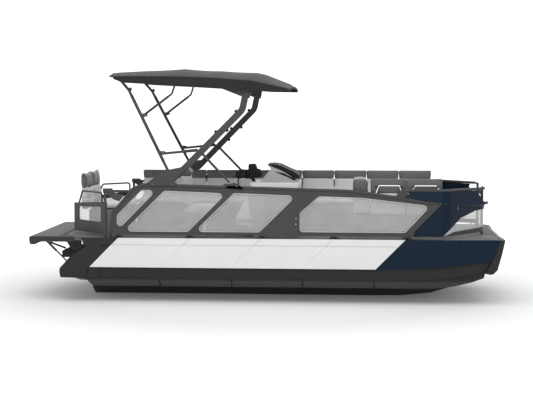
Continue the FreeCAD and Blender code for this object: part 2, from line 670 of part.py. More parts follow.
PLATFORM_WIDTH = BEAM - 2 * PLATFORM_SIDE_INSET
BRACE_Y = HALF_BEAM - BRACE_INSET
LADDER_Y = PONTOON_INNER - LADDER_CLEAR_WIDTH
MOUNT_Y = LADDER_Y - (LADDER_WIDTH + MOUNT_WIDTH) / 2 - LADDER_MOUNT_SPACE
PLATFORM_UNDERSIDE = DECK_TOP - PLATFORM_THICKNESS
LIP_BOTTOM = PLATFORM_UNDERSIDE - PLATFORM_LIP
LADDER_X = X_PLATFORM + PLATFORM_LIP_LENGTH + LADDER_PIVOT_IN
LADDER_Z = PLATFORM_UNDERSIDE - LADDER_DROP


def swim_platform():
    top_edge = X_PLATFORM + PLATFORM_EDGE
    side = [(X_PLATFORM, DECK_TOP - PLATFORM_EDGE_DROP),
            (X_PLATFORM + PLATFORM_EDGE / 4, DECK_TOP - PLATFORM_EDGE / 3),
            (top_edge, DECK_TOP), (DECK_CORNER_X, DECK_TOP), (DECK_CORNER_X, PLATFORM_UNDERSIDE),
            (X_PLATFORM + PLATFORM_LIP_LENGTH, PLATFORM_UNDERSIDE),
            (X_PLATFORM + PLATFORM_LIP_LENGTH - PLATFORM_LIP, LIP_BOTTOM), (top_edge, LIP_BOTTOM)]
    half = PLATFORM_WIDTH / 2
    slab = prism_xz(side, -half, half)
    back = X_PLATFORM - OVERRUN
    plan = [(back, -half - OVERRUN), (DECK_CORNER_X + half, -half - OVERRUN),
            (DECK_CORNER_X + half, half + OVERRUN), (back, half + OVERRUN)]
    inner = DECK_CORNER_X + half
    outline = rounded_prism_xy([(X_PLATFORM, -half), (inner, -half), (inner, half), (X_PLATFORM, half)],
                               PLATFORM_CORNER, LIP_BOTTOM, DECK_TOP)
    aft_of_deck = prism_xy(plan, LIP_BOTTOM, DECK_TOP).cut(
        prism_xy(stern_outline(0, DECK_CORNER_X + 2 * half), LIP_BOTTOM, DECK_TOP))
    return slab.common(outline).common(aft_of_deck)


def ladder_ears():
    """Two hanging ears with a pin that the folding ladder turns on."""
    pieces = []
    for side in (1, -1):
        y = LADDER_Y + side * (LADDER_WIDTH / 2 + LADDER_TUBE + MOVING_GAP) - (LADDER_EAR if side < 0 else 0)
        pieces.append(block(LADDER_X - LADDER_TUBE, LADDER_X + LADDER_TUBE, y, y + LADDER_EAR,
                            LADDER_Z - LADDER_TUBE, PLATFORM_UNDERSIDE))
    half = LADDER_WIDTH / 2 + LADDER_TUBE + MOVING_GAP + LADDER_EAR
    pin = Part.makeCylinder(LADDER_PIN, 2 * half, V(LADDER_X, LADDER_Y - half, LADDER_Z), V(0, 1, 0))
    return pieces[0].fuse([pieces[1], pin])


def boarding_ladder():
    half = LADDER_WIDTH / 2
    rails = []
    for side in (1, -1):
        start = V(LADDER_X, LADDER_Y + side * half, LADDER_Z)
        rails.append(rod(start, start + V(LADDER_LENGTH, 0, 0), LADDER_TUBE))
        rails.append(Part.makeCylinder(LADDER_TUBE, 2 * LADDER_TUBE, start - V(0, LADDER_TUBE, 0),
                                       V(0, 1, 0)))
    for step in range(LADDER_RUNG_COUNT):
        x = LADDER_X + LADDER_LENGTH * (step + 1) / LADDER_RUNG_COUNT - LADDER_RUNG_DEPTH
        rails.append(block(x, x + LADDER_RUNG_DEPTH, LADDER_Y - half, LADDER_Y + half,
                           LADDER_Z - LADDER_TUBE / 2, LADDER_Z + LADDER_TUBE / 2))
    whole = rails[0].fuse(rails[1:]).removeSplitter()
    return whole.cut(Part.makeCylinder(LADDER_PIN + RUNNING_GAP, 2 * LADDER_WIDTH,
                                       V(LADDER_X, LADDER_Y - LADDER_WIDTH, LADDER_Z), V(0, 1, 0)))


def platform_brace(hull):
    top = V(X_PLATFORM + BRACE_TOP_REACH, BRACE_Y, PLATFORM_UNDERSIDE)
    foot = V(X_STERN + BRACE_FOOT_IN, BRACE_Y, CHINE_TOP + BRACE_FOOT_RISE)
    run = foot - top
    sleeve_end = top + run * BRACE_SLEEVE_SHARE
    whole = rod(top, foot, BRACE_RADIUS).fuse([rod(top, sleeve_end, BRACE_SLEEVE_RADIUS)])
    above = block(X_PLATFORM, X_BOW, 0, HALF_BEAM, PLATFORM_UNDERSIDE, DECK_TOP)
    return largest(whole.cut(above).cut(hull))


def platform_mount():
    """Bracket from the transom deck to the underside of the platform."""
    x = DECK_STERN_X
    points = [(x, DECK_UNDERSIDE), (x + MOUNT_LENGTH, DECK_UNDERSIDE),
              (x + MOUNT_LENGTH, HULL_TOP - MOUNT_WIDTH),
              (x + MOUNT_LENGTH / 2, HULL_TOP - 2 * MOUNT_WIDTH), (x, HULL_TOP - 2 * MOUNT_WIDTH),
              (x - MOUNT_LENGTH / 2, PLATFORM_UNDERSIDE), (x, PLATFORM_UNDERSIDE)]
    return prism_xz(points, MOUNT_Y - MOUNT_WIDTH / 2, MOUNT_Y + MOUNT_WIDTH / 2)


# Side fence: one plate a side with four slanted windows, each filled with mesh
FENCE_INSET = 60.0
FENCE_THICKNESS = 25.0
FENCE_GAP = 45.0
FENCE_HEIGHT = 725.0
FENCE_START = 736.0
RAIL_RADIUS = 24.0
FENCE_CORNER = 60.0
WINDOW_CORNER = 45.0
MESH_THICKNESS = 6.0
FOOT_LENGTH = 110.0
FOOT_COUNT = 4
FOOT_FIRST = 122.0

FENCE_Y = HALF_BEAM - FENCE_INSET
FENCE_X = X_STERN + FENCE_START
FENCE_BOTTOM = DECK_TOP + FENCE_GAP
# Along the fence in bays from its aft end, up from its bottom in fence heights
FENCE_OUTLINE_SHARES = (
    (0.0, 0.0), (0.02, 0.40), (0.09, 0.57), (0.34, 0.905), (0.5, 0.993), (3.36, 0.887),
    (3.65, 0.836), (3.99, 0.799), (4.43, 0.665), (4.63, 0.655), (4.245, 0.095), (4.235, 0.0))
FENCE_WINDOW_SHARES = (
    ((0.104, 0.088), (0.104, 0.382), (0.451, 0.887), (0.66, 0.887)),
    ((0.199, 0.068), (0.772, 0.874), (1.633, 0.826), (1.099, 0.068)),
    ((1.199, 0.068), (1.75, 0.834), (2.61, 0.786), (2.1, 0.068)),
    ((2.669, 0.079), (2.669, 0.448), (2.93, 0.777), (3.515, 0.752), (4.46, 0.6), (4.12, 0.079)))


def fence_spots(shares):
    return spots(FENCE_X, FENCE_BOTTOM, BAY, FENCE_HEIGHT, shares)


def fence_windows(inset):
    half = FENCE_THICKNESS / 2 - inset
    return [rounded_prism_xz(fence_spots(shares), WINDOW_CORNER, FENCE_Y - half, FENCE_Y + half)
            for shares in FENCE_WINDOW_SHARES]


def fence():
    half = FENCE_THICKNESS / 2
    plate = prism_xz(fence_spots(FENCE_OUTLINE_SHARES), FENCE_Y - half, FENCE_Y + half)
    plate = plate.cut(fence_windows(0)[0])
    for window in fence_windows(0)[1:]:
        plate = plate.cut(window)
    feet = []
    for step in range(FOOT_COUNT):
        x = FENCE_X + FOOT_FIRST + step * BAY
        foot = [(x - FOOT_LENGTH / 2, DECK_TOP), (x - FOOT_LENGTH / 4, FENCE_BOTTOM),
                (x + FOOT_LENGTH / 4, FENCE_BOTTOM), (x + FOOT_LENGTH / 2, DECK_TOP)]
        feet.append(prism_xz(foot, FENCE_Y - half, FENCE_Y + half))
    return plate.fuse(feet).removeSplitter()


def fence_mesh():
    return Part.makeCompound(fence_windows((FENCE_THICKNESS - MESH_THICKNESS) / 2))


# Tubes of the fence: a rail round the side plate and the post of the rear gate
POST_RADIUS = 20.0
POST_X_GAP = 70.0
POST_TOP_SHARE = 0.865
RAIL_BEND = 110.0
RAIL_SHARES = (
    (0.0, -0.1), (0.03, 0.41), (0.34, 0.93), (0.5, 0.993), (3.36, 0.887), (3.65, 0.836),
    (4.43, 0.665), (4.62, 0.655))
# Along in bays from the post, up from the post's top in fence heights
CORNER_PLATE_THICKNESS = 22.0
CORNER_PLATE_SHARES = (
    (-0.03, 0.055), (0.105, 0.055), (0.11, 0.0), (0.16, -0.055), (0.265, -0.09), (0.2, -0.2), (0.12, -0.165),
    (0.02, -0.05), (-0.03, -0.03))

POST_X = FENCE_X - POST_X_GAP
POST_TOP = FENCE_BOTTOM + POST_TOP_SHARE * FENCE_HEIGHT


def rail_height_at(x):
    """Height of the side rail's centre line at x."""
    route = fence_spots(RAIL_SHARES)
    height = route[-1][1]
    for (x_low, z_low), (x_high, z_high) in zip(route, route[1:]):
        if x_low <= x <= x_high:
            height = z_low + (z_high - z_low) * (x - x_low) / (x_high - x_low)
    return height


def top_rail():
    corners = [V(x, FENCE_Y, z) for x, z in fence_spots(RAIL_SHARES)]
    below = block(X_STERN, X_BOW, 0, BEAM, 0, DECK_TOP)
    return tube(corners, RAIL_RADIUS, RAIL_BEND).cut(below)


def gate_post(rail):
    top = V(POST_X, FENCE_Y, POST_TOP)
    arm_end = V(FENCE_X + RAIL_SHARES[3][0] * BAY, FENCE_Y, POST_TOP)
    post = tube([V(POST_X, FENCE_Y, DECK_TOP), top, arm_end], POST_RADIUS, 2 * POST_RADIUS)
    inside = prism_xz(fence_spots(RAIL_SHARES), 0, BEAM)
    half = CORNER_PLATE_THICKNESS / 2
    plate = prism_xz(spots(POST_X, POST_TOP, BAY, FENCE_HEIGHT, CORNER_PLATE_SHARES),
                     FENCE_Y - half, FENCE_Y + half)
    return largest(post.fuse(plate).removeSplitter().cut(rail).cut(inside))


# Rear gates, one each side, set across the stern corners
GATE_LENGTH = 820.0
GATE_ANGLE = 45.7
GATE_THICKNESS = 30.0
GATE_HINGE_SHARE = 0.648
GATE_END_SHARE = 0.572
GATE_BARREL_WALL = 8.0
GATE_RAIL_RADIUS = 13.0
GATE_RAIL_RISE = 130.0
GATE_WINDOW_CORNER = 25.0
# Share of the gate's length, share of the height at its hinge
GATE_WINDOW_SHARES = ((0.12, 0.36), (0.12, 0.84), (0.86, 0.78), (0.86, 0.36))
GATE_RAIL_SHARES = (0.1, 0.74, 0.86)

GATE_HINGE_HEIGHT = GATE_HINGE_SHARE * FENCE_HEIGHT
GATE_END_HEIGHT = GATE_END_SHARE * FENCE_HEIGHT


def rear_gate_parts():
    """Port gate panel and its mesh, closed."""
    pivot = V(POST_X, FENCE_Y, 0)
    bottom = FENCE_BOTTOM
    half = GATE_THICKNESS / 2
    barrel_radius = POST_RADIUS + GATE_BARREL_WALL
    top_z = bottom + GATE_HINGE_HEIGHT
    end_z = bottom + GATE_END_HEIGHT
    free_x = POST_X - GATE_LENGTH
    panel = prism_xz([(POST_X, bottom), (POST_X, top_z), (free_x, end_z), (free_x, bottom)],
                     FENCE_Y - half, FENCE_Y + half)
    window_points = spots(POST_X, bottom, -GATE_LENGTH, GATE_HINGE_HEIGHT, GATE_WINDOW_SHARES)
    panel = panel.cut(rounded_prism_xz(window_points, GATE_WINDOW_CORNER, FENCE_Y - half, FENCE_Y + half))
    mesh = rounded_prism_xz(window_points, GATE_WINDOW_CORNER, FENCE_Y - MESH_THICKNESS / 2,
                            FENCE_Y + MESH_THICKNESS / 2)
    barrel = Part.makeCylinder(barrel_radius, GATE_HINGE_HEIGHT, V(POST_X, FENCE_Y, bottom))
    rail_z = top_z + GATE_RAIL_RISE
    rise, run_end, foot = [POST_X - share * GATE_LENGTH for share in GATE_RAIL_SHARES]
    rail = tube([V(rise, FENCE_Y, top_z - GATE_RAIL_RISE / 2), V(rise, FENCE_Y, rail_z),
                 V(run_end, FENCE_Y, rail_z), V(foot, FENCE_Y, end_z)], GATE_RAIL_RADIUS, GATE_RAIL_RISE / 3)
    rail = rail.cut(rounded_prism_xz(window_points, GATE_WINDOW_CORNER, 0, BEAM))
    bore = Part.makeCylinder(POST_RADIUS + RUNNING_GAP, GATE_HINGE_HEIGHT, V(POST_X, FENCE_Y, bottom))
    gate = panel.fuse([barrel, rail]).cut(bore).removeSplitter()
    gate = largest(gate)
    for piece in (gate, mesh):
        piece.rotate(pivot, V(0, 0, 1), GATE_ANGLE)
    return gate, mesh


# Bow fence: follows the side plate's line and turns in towards the front gate
BOW_FENCE_SET_BACK = 259.0
BOW_SHOULDER_GAP = 66.0
BOW_FRONT_INSET = 550.0
BOW_LEAD_LENGTH = 200.0
BOW_FENCE_BEND = 220.0
BOW_GATE_WIDTH = 680.0
BOW_RAIL_RADIUS = 20.0
BOW_RAIL_SHARE = 0.906
BOW_RAIL_DROP = 90.0
BOW_GATE_SHARE = 0.828
BOW_GATE_KNUCKLE_SHARES = (0.12, 0.8)
COWL_PROUD = 22.0
COWL_REACH = 40.0
COWL_TOP_INSET = 4.0
SHOULDER_SHARE = 0.4
COWL_WALL = 14.0
BOW_WINDOW_THICKNESS = 6.0
BOW_POST_RADIUS = 18.0
# Along the bow fence from the side plate's front edge, up from the fence's bottom
NAVY_SHARES = (
    (0.0, 0.0), (0.01, 0.095), (0.375, 0.655), (1.1, 0.53), (1.1, 0.493), (0.985, 0.493), (0.87, 0.473),
    (0.76, 0.41), (0.65, 0.345), (0.556, 0.216), (0.468, 0.098), (0.399, 0.0))
SILL_SHARES = ((0.399, 0.0), (0.556, 0.085), (1.1, 0.14), (1.1, 0.05), (0.85, 0.03))
LOWER_RAIL_SHARES = ((0.36, 0.655), (1.1, 0.53), (1.1, 0.59), (0.36, 0.715))
COWL_SHARES = (
    (-0.103, 0.772), (0.195, 0.7), (0.515, 0.632), (0.842, 0.592), (1.1, 0.592), (1.1, 0.62), (0.996, 0.646),
    (0.951, 0.73), (0.907, 0.815), (0.92, 0.875), (-0.035, 0.89))
COWL_HEIGHT_SHARES = (0.592, 0.89)
BOW_BRACKET_WIDTH = 30.0
BOW_BRACKET_SHARES = ((-0.24, 0.804), (-0.173, 0.917), (-0.05, 0.892), (-0.133, 0.768))

BOW_FENCE_X = X_BOW - BOW_FENCE_SET_BACK
BOW_START_X = FENCE_X + FENCE_OUTLINE_SHARES[-1][0] * BAY
BOW_RUN = BOW_FENCE_X - BOW_START_X
BOW_SHOULDER_X = FENCE_X + FENCE_OUTLINE_SHARES[-3][0] * BAY + BOW_SHOULDER_GAP
BOW_FRONT_HALF = FENCE_Y - BOW_FRONT_INSET
BOW_RAIL_Z = FENCE_BOTTOM + BOW_RAIL_SHARE * FENCE_HEIGHT
BOW_GATE_HEIGHT = BOW_GATE_SHARE * FENCE_HEIGHT


def bow_plan_wire(inset, z, reach=0):
    half = FENCE_Y - inset
    front = BOW_FENCE_X - inset + reach
    slope = inset * SHOULDER_SHARE
    aft = BOW_START_X - BOW_LEAD_LENGTH
    corners = [(aft, half), (BOW_SHOULDER_X - slope, half), (front, BOW_FRONT_HALF - slope),
               (front, slope - BOW_FRONT_HALF), (BOW_SHOULDER_X - slope, -half), (aft, -half)]
    points = [V(u, w, z) for u, w in corners]
    open_wire = rounded_route(points, BOW_FENCE_BEND)
    closing = Part.LineSegment(points[-1], points[0]).toShape()
    return Part.Wire(open_wire.Edges + [closing])


def bow_band(outer_inset, inner_inset, shares):
    """Wall along the bow's plan line whose side view is given by shares of the bow's run."""
    low, high = FENCE_BOTTOM, FENCE_BOTTOM + FENCE_HEIGHT
    outer = Part.Face(bow_plan_wire(outer_inset, low)).extrude(V(0, 0, high - low))
    inner = Part.Face(bow_plan_wire(inner_inset, low)).extrude(V(0, 0, high - low))
    side = prism_xz(spots(BOW_START_X, FENCE_BOTTOM, BOW_RUN, FENCE_HEIGHT, shares), -BEAM, BEAM)
    return outer.cut(inner).common(side).cut(bow_gateway())


def bow_gateway():
    half = bow_gate_post().y + BOW_POST_RADIUS + GATE_BARREL_WALL + MOVING_GAP
    back = BOW_FENCE_X - 4 * FENCE_THICKNESS
    return block(back, X_BOW, -half, half, DECK_TOP, 2 * BOW_RAIL_Z)


def bow_fence(sill, side_plates):
    half = FENCE_THICKNESS / 2
    return bow_band(-half, half, NAVY_SHARES).cut(sill).cut(side_plates)


def bow_sill(side_rails):
    half = FENCE_THICKNESS / 2
    strip = bow_band(-half, half, SILL_SHARES)
    rail = bow_band(-half - COWL_PROUD / 4, half, LOWER_RAIL_SHARES).cut(side_rails)
    return Part.makeCompound(strip.Solids + rail.Solids)


def bow_window():
    upper = list(NAVY_SHARES[4:])
    outline = [SILL_SHARES[1], SILL_SHARES[2]] + upper
    half = BOW_WINDOW_THICKNESS / 2
    return bow_band(-half, half, outline)


def bow_cowl(sill, rails):
    """Flared navy fairing between the lower and the upper bow rail."""
    low, high = [FENCE_BOTTOM + share * FENCE_HEIGHT for share in COWL_HEIGHT_SHARES]
    half = FENCE_THICKNESS / 2
    outset = half + COWL_PROUD
    outer = Part.makeLoft([bow_plan_wire(-outset, low, COWL_REACH),
                           bow_plan_wire(COWL_TOP_INSET - half, high)], True, True)
    inner = Part.makeLoft([bow_plan_wire(COWL_WALL - outset, low, COWL_REACH),
                           bow_plan_wire(COWL_WALL + COWL_TOP_INSET - half, high)], True, True)
    side = prism_xz(spots(BOW_START_X, FENCE_BOTTOM, BOW_RUN, FENCE_HEIGHT, COWL_SHARES), -BEAM, BEAM)
    cowl = outer.cut(inner).common(side).cut(bow_gateway()).cut(sill).cut(rails)
    return Part.makeCompound([piece for piece in cowl.Solids if piece.Volume > COWL_WALL ** 3])


def bow_gate_post():
    return V(BOW_FENCE_X, BOW_GATE_WIDTH / 2 + BOW_POST_RADIUS + MOVING_GAP, DECK_TOP)


def bow_rail(side_rail):
    start_x = BOW_START_X - BOW_RUN / 8
    post = bow_gate_post()
    route = [V(start_x - BOW_RAIL_DROP, FENCE_Y, BOW_RAIL_Z - BOW_RAIL_DROP), V(start_x, FENCE_Y, BOW_RAIL_Z),
             V(BOW_SHOULDER_X, FENCE_Y, BOW_RAIL_Z), V(BOW_FENCE_X, BOW_FRONT_HALF, BOW_RAIL_Z),
             V(post.x, post.y, BOW_RAIL_Z)]
    rail = tube(route, BOW_RAIL_RADIUS, BOW_RAIL_DROP)
    upright = rod(post, V(post.x, post.y, BOW_RAIL_Z), BOW_POST_RADIUS)
    half = BOW_BRACKET_WIDTH / 2
    bracket = prism_xz(spots(BOW_START_X, FENCE_BOTTOM, BOW_RUN, FENCE_HEIGHT, BOW_BRACKET_SHARES),
                       FENCE_Y - half, FENCE_Y + half)
    return largest(rail.fuse([upright, bracket]).cut(side_rail))


def bow_gate():
    """Front gate, hinged on its port post."""
    half = BOW_GATE_WIDTH / 2
    low = FENCE_BOTTOM
    high = low + BOW_GATE_HEIGHT
    depth = FENCE_THICKNESS / 2
    back, front = BOW_FENCE_X - depth, BOW_FENCE_X + depth
    frame = rounded_prism_yz([(-half, low), (-half, high), (half, high), (half, low)], FENCE_THICKNESS,
                             back, front)
    margin = FENCE_CORNER
    hole = [(-half + margin, low + margin), (-half + margin, high - margin), (half - margin, high - margin),
            (half - margin, low + margin)]
    frame = frame.cut(rounded_prism_yz(hole, margin / 2, back, front))
    post = bow_gate_post()
    knuckles = []
    for share in BOW_GATE_KNUCKLE_SHARES:
        z = low + share * BOW_GATE_HEIGHT
        seat = V(post.x, post.y, z)
        knuckles.append(Part.makeCylinder(BOW_POST_RADIUS + GATE_BARREL_WALL, margin, seat))
        knuckles.append(block(back, front, half - depth, post.y, z, z + margin))
    bore = Part.makeCylinder(BOW_POST_RADIUS + RUNNING_GAP, BOW_GATE_HEIGHT, V(post.x, post.y, low))
    frame = frame.fuse(knuckles).cut(bore).removeSplitter()
    mesh_x = BOW_FENCE_X - MESH_THICKNESS / 2
    return frame, rounded_prism_yz(hole, margin / 2, mesh_x, mesh_x + MESH_THICKNESS)


# Lounges: hollow bases, hinged seat cushions as lids, and a row of back cushions
SEAT_HEIGHT = 445.0
CUSHION = 95.0
BASE_WALL = 20.0
BASE_DEPTH = 575.0
BASE_KICK = 50.0
BACK_THICKNESS = 150.0
BACK_LEAN = 70.0
BACK_HEIGHT = 865.0
BACK_SPLIT = 6.0
LOUNGE_BACK_GAP = 50.0
PORT_MODULE_COUNT = 9
PORT_LOUNGE_START = 841.0
PORT_LID_COUNT = 3
STARBOARD_MODULE_COUNT = 2
STARBOARD_END = 889.0
CHAISE_BACK = 245.0
BENCH_SIDE_ROOM = 660.0
BENCH_DEPTH = 560.0
BENCH_BACK_X = 291.0
BENCH_BACK_THICKNESS = 130.0
BENCH_HEIGHT = 895.0
HEADREST_HEIGHT = 210.0

LOUNGE_MODULE = BAY / 2
LOUNGE_BACK_Y = FENCE_Y - LOUNGE_BACK_GAP
BENCH_WIDTH = 2 * (FENCE_Y - BENCH_SIDE_ROOM)
BENCH_TOP = DECK_TOP + BENCH_HEIGHT
BACK_TOP = DECK_TOP + BACK_HEIGHT
SEAT_TOP = DECK_TOP + SEAT_HEIGHT
BASE_TOP = SEAT_TOP - CUSHION
BACK_FACE_Y = LOUNGE_BACK_Y - BACK_THICKNESS
PORT_X = X_STERN + PORT_LOUNGE_START
PORT_LENGTH = PORT_MODULE_COUNT * LOUNGE_MODULE
STARBOARD_X_END = X_BOW - STARBOARD_END
CHAISE_X = STARBOARD_X_END - STARBOARD_MODULE_COUNT * LOUNGE_MODULE - CHAISE_BACK
BENCH_X = X_STERN + BENCH_BACK_X
LID_HINGE_Y = BACK_FACE_Y - MOVING_GAP
SEAT_FRONT_Y = LOUNGE_BACK_Y - BASE_DEPTH - BASE_WALL


def lounge_base(x_low, x_high, rooms):
    front = LOUNGE_BACK_Y - BASE_DEPTH
    outline = [(LOUNGE_BACK_Y, DECK_TOP), (LOUNGE_BACK_Y, BASE_TOP), (front, BASE_TOP),
               (front, BASE_TOP - BASE_KICK), (front + BASE_KICK, DECK_TOP)]
    base = prism_yz(outline, x_low, x_high)
    pitch = (x_high - x_low - BASE_WALL) / rooms
    for step in range(rooms):
        x = x_low + BASE_WALL + step * pitch
        base = base.cut(block(x, x + pitch - BASE_WALL,
                              front + BASE_KICK + BASE_WALL, BACK_FACE_Y - BASE_WALL,
                              DECK_TOP + BASE_WALL, BASE_TOP + OVERRUN))
    return base


def seat_lid(x_low, x_high):
    edge = BACK_SPLIT / 2
    return block(x_low + edge, x_high - edge, SEAT_FRONT_Y, LID_HINGE_Y, BASE_TOP + SEAT_GAP, SEAT_TOP)


def back_cushions(x_low, count):
    section = [(LOUNGE_BACK_Y, BASE_TOP), (LOUNGE_BACK_Y, BACK_TOP), (BACK_FACE_Y + BACK_LEAN, BACK_TOP),
               (BACK_FACE_Y, SEAT_TOP), (BACK_FACE_Y, BASE_TOP)]
    edge = BACK_SPLIT / 2
    return [prism_yz(section, x_low + step * LOUNGE_MODULE + edge, x_low + (step + 1) * LOUNGE_MODULE - edge)
            for step in range(count)]


def chaise_back():
    front = LOUNGE_BACK_Y - BASE_DEPTH
    section = [(CHAISE_X, BASE_TOP), (CHAISE_X, BACK_TOP), (CHAISE_X + CHAISE_BACK / 2, BACK_TOP),
               (CHAISE_X + CHAISE_BACK - BACK_SPLIT, BASE_TOP)]
    return prism_xz(section, front, LOUNGE_BACK_Y)


def bench_base():
    half = BENCH_WIDTH / 2
    front = BENCH_X + BENCH_DEPTH
    outline = [(BENCH_X, DECK_TOP), (BENCH_X, BASE_TOP), (front, BASE_TOP), (front, BASE_TOP - BASE_KICK),
               (front - BASE_KICK, DECK_TOP)]
    shell = prism_xz(outline, -half, half)
    return shell.cut(block(BENCH_X + BASE_WALL, front - BASE_KICK - BASE_WALL,
                           BASE_WALL - half, half - BASE_WALL, DECK_TOP + BASE_WALL, BASE_TOP + OVERRUN))


def bench_seat():
    half = BENCH_WIDTH / 2
    return block(BENCH_X + MOVING_GAP, BENCH_X + BENCH_DEPTH + BASE_WALL, -half, half,
                 BASE_TOP + SEAT_GAP, SEAT_TOP)


def bench_back():
    half = BENCH_WIDTH / 2
    low = [(BENCH_X, DECK_TOP), (BENCH_X - BENCH_BACK_THICKNESS, DECK_TOP),
           (BENCH_X - BENCH_BACK_THICKNESS, BENCH_TOP - HEADREST_HEIGHT),
           (BENCH_X - BENCH_BACK_THICKNESS / 4, BENCH_TOP - HEADREST_HEIGHT), (BENCH_X, SEAT_TOP)]
    pieces = [prism_xz(low, -half, half)]
    edge = BACK_SPLIT / 2
    top = [(BENCH_X - BENCH_BACK_THICKNESS, BENCH_TOP - HEADREST_HEIGHT),
           (BENCH_X - BENCH_BACK_THICKNESS, BENCH_TOP),
           (BENCH_X - BENCH_BACK_THICKNESS / 2, BENCH_TOP),
           (BENCH_X - BENCH_BACK_THICKNESS / 4, BENCH_TOP - HEADREST_HEIGHT)]
    pieces.append(prism_xz(top, edge, half))
    pieces.append(prism_xz(top, -half, -edge))
    return Part.makeCompound(pieces)


# Helm: console with a hood, handlebar steering and a swivel seat
HELM_INSET = 570.0
CONSOLE_WIDTH = 720.0
CONSOLE_BAYS_SHARE = 2.67
CONSOLE_LENGTH = 712.0
CONSOLE_HEIGHT = 765.0
HOOD_HEIGHT = 235.0
HOOD_WIDTH = 560.0
# Share of the console's length, share of its height
CONSOLE_SHARES = (
    (0.1, 0.0), (-0.29, 0.29), (-0.29, 0.4), (-0.04, 0.81), (0.0, 1.0), (1.0, 1.0), (1.0, 0.0))
HOOD_SHARES = ((0.15, 0.0), (0.42, 0.93), (0.35, 1.19), (0.58, 1.19), (0.96, 0.57), (0.98, 0.0))
STEER_X_SHARE = 0.06
STEER_LEAN = 30.0
COLUMN_RADIUS = 24.0
COLUMN_LENGTH = 150.0
COLUMN_SOCKET = 60.0
BAR_RADIUS = 12.0
BAR_WIDTH = 640.0
BAR_SWEEP = 110.0
GRIP_RADIUS = 18.0
GRIP_LENGTH = 120.0
BAR_PAD = 130.0
PEDESTAL_RADIUS = 55.0
PEDESTAL_FOOT = 170.0
PEDESTAL_FOOT_THICKNESS = 12.0
HELM_SEAT_SPACING = 699.0
HELM_SEAT_WIDTH = 500.0
HELM_SEAT_DEPTH = 480.0
HELM_SEAT_OVERHANG = 288.0
HELM_SEAT_CUSHION = 120.0
HELM_SEAT_BACK = 100.0
HELM_SEAT_BACK_HEIGHT = 545.0
HELM_SWIVEL_DEPTH = 60.0
HELM_PIN_RADIUS = 25.0

HELM_Y = HELM_INSET - FENCE_Y
CONSOLE_TOP = DECK_TOP + CONSOLE_HEIGHT
CONSOLE_START = X_STERN + CONSOLE_BAYS_SHARE * BAY
STEER_AXIS = V(-math.sin(math.radians(STEER_LEAN)), 0, math.cos(math.radians(STEER_LEAN)))
STEER_SEAT = V(CONSOLE_START + STEER_X_SHARE * CONSOLE_LENGTH, HELM_Y, CONSOLE_TOP)
SWIVEL_X = CONSOLE_START - HELM_SEAT_SPACING
SWIVEL_Z = SEAT_TOP - HELM_SEAT_CUSHION
HELM_SEAT_TOP = SEAT_TOP + HELM_SEAT_BACK_HEIGHT


def console():
    half = CONSOLE_WIDTH / 2
    body = prism_xz(spots(CONSOLE_START, DECK_TOP, CONSOLE_LENGTH, CONSOLE_TOP - DECK_TOP, CONSOLE_SHARES),
                    HELM_Y - half, HELM_Y + half)
    socket = Part.makeCylinder(COLUMN_RADIUS + RUNNING_GAP, COLUMN_SOCKET + 2 * COLUMN_RADIUS,
                               STEER_SEAT - STEER_AXIS * COLUMN_SOCKET, STEER_AXIS)
    return body.cut(socket)


def helm_hood():
    half = HOOD_WIDTH / 2
    outline = spots(CONSOLE_START, CONSOLE_TOP, CONSOLE_LENGTH, HOOD_HEIGHT, HOOD_SHARES)
    return prism_xz(outline, HELM_Y - half, HELM_Y + half)


def handlebar():
    foot = STEER_SEAT - STEER_AXIS * COLUMN_SOCKET
    head = STEER_SEAT + STEER_AXIS * COLUMN_LENGTH
    half = BAR_WIDTH / 2
    back = V(-BAR_SWEEP, 0, 0)
    left = head + V(0, half, 0) + back
    right = head + V(0, -half, 0) + back
    bar = tube([right, head - V(0, half / 4, 0), head + V(0, half / 4, 0), left], BAR_RADIUS, 3 * BAR_RADIUS)
    grips = []
    for end, side in ((left, 1), (right, -1)):
        along = (head + V(0, side * half / 4, 0) - end).normalize()
        grips.append(Part.makeCylinder(GRIP_RADIUS, GRIP_LENGTH, end, along))
    pad = block(head.x - BAR_PAD / 2, head.x + BAR_PAD / 3, HELM_Y - BAR_PAD / 2, HELM_Y + BAR_PAD / 2,
                head.z - BAR_PAD / 4, head.z + BAR_PAD / 2)
    return rod(foot, head, COLUMN_RADIUS).fuse([bar, pad] + grips).removeSplitter()


def helm_pedestal():
    foot = Part.makeCylinder(PEDESTAL_FOOT, PEDESTAL_FOOT_THICKNESS, V(SWIVEL_X, HELM_Y, DECK_TOP))
    post = Part.makeCylinder(PEDESTAL_RADIUS, SWIVEL_Z - SEAT_GAP - DECK_TOP, V(SWIVEL_X, HELM_Y, DECK_TOP))
    pin = Part.makeCylinder(HELM_PIN_RADIUS, SWIVEL_Z + HELM_SWIVEL_DEPTH - DECK_TOP,
                            V(SWIVEL_X, HELM_Y, DECK_TOP))
    return foot.fuse([post, pin]).removeSplitter()


def helm_seat():
    half = HELM_SEAT_WIDTH / 2
    aft = SWIVEL_X - HELM_SEAT_OVERHANG
    front = aft + HELM_SEAT_DEPTH
    outline = [(aft, SWIVEL_Z), (front, SWIVEL_Z), (front, SEAT_TOP), (aft + HELM_SEAT_BACK, SEAT_TOP),
               (aft + HELM_SEAT_BACK / 2, HELM_SEAT_TOP), (aft - HELM_SEAT_BACK / 2, HELM_SEAT_TOP)]
    seat = prism_xz(outline, HELM_Y - half, HELM_Y + half)
    hole = Part.makeCylinder(HELM_PIN_RADIUS + RUNNING_GAP, HELM_SWIVEL_DEPTH + SEAT_GAP,
                             V(SWIVEL_X, HELM_Y, SWIVEL_Z))
    return seat.cut(hole)


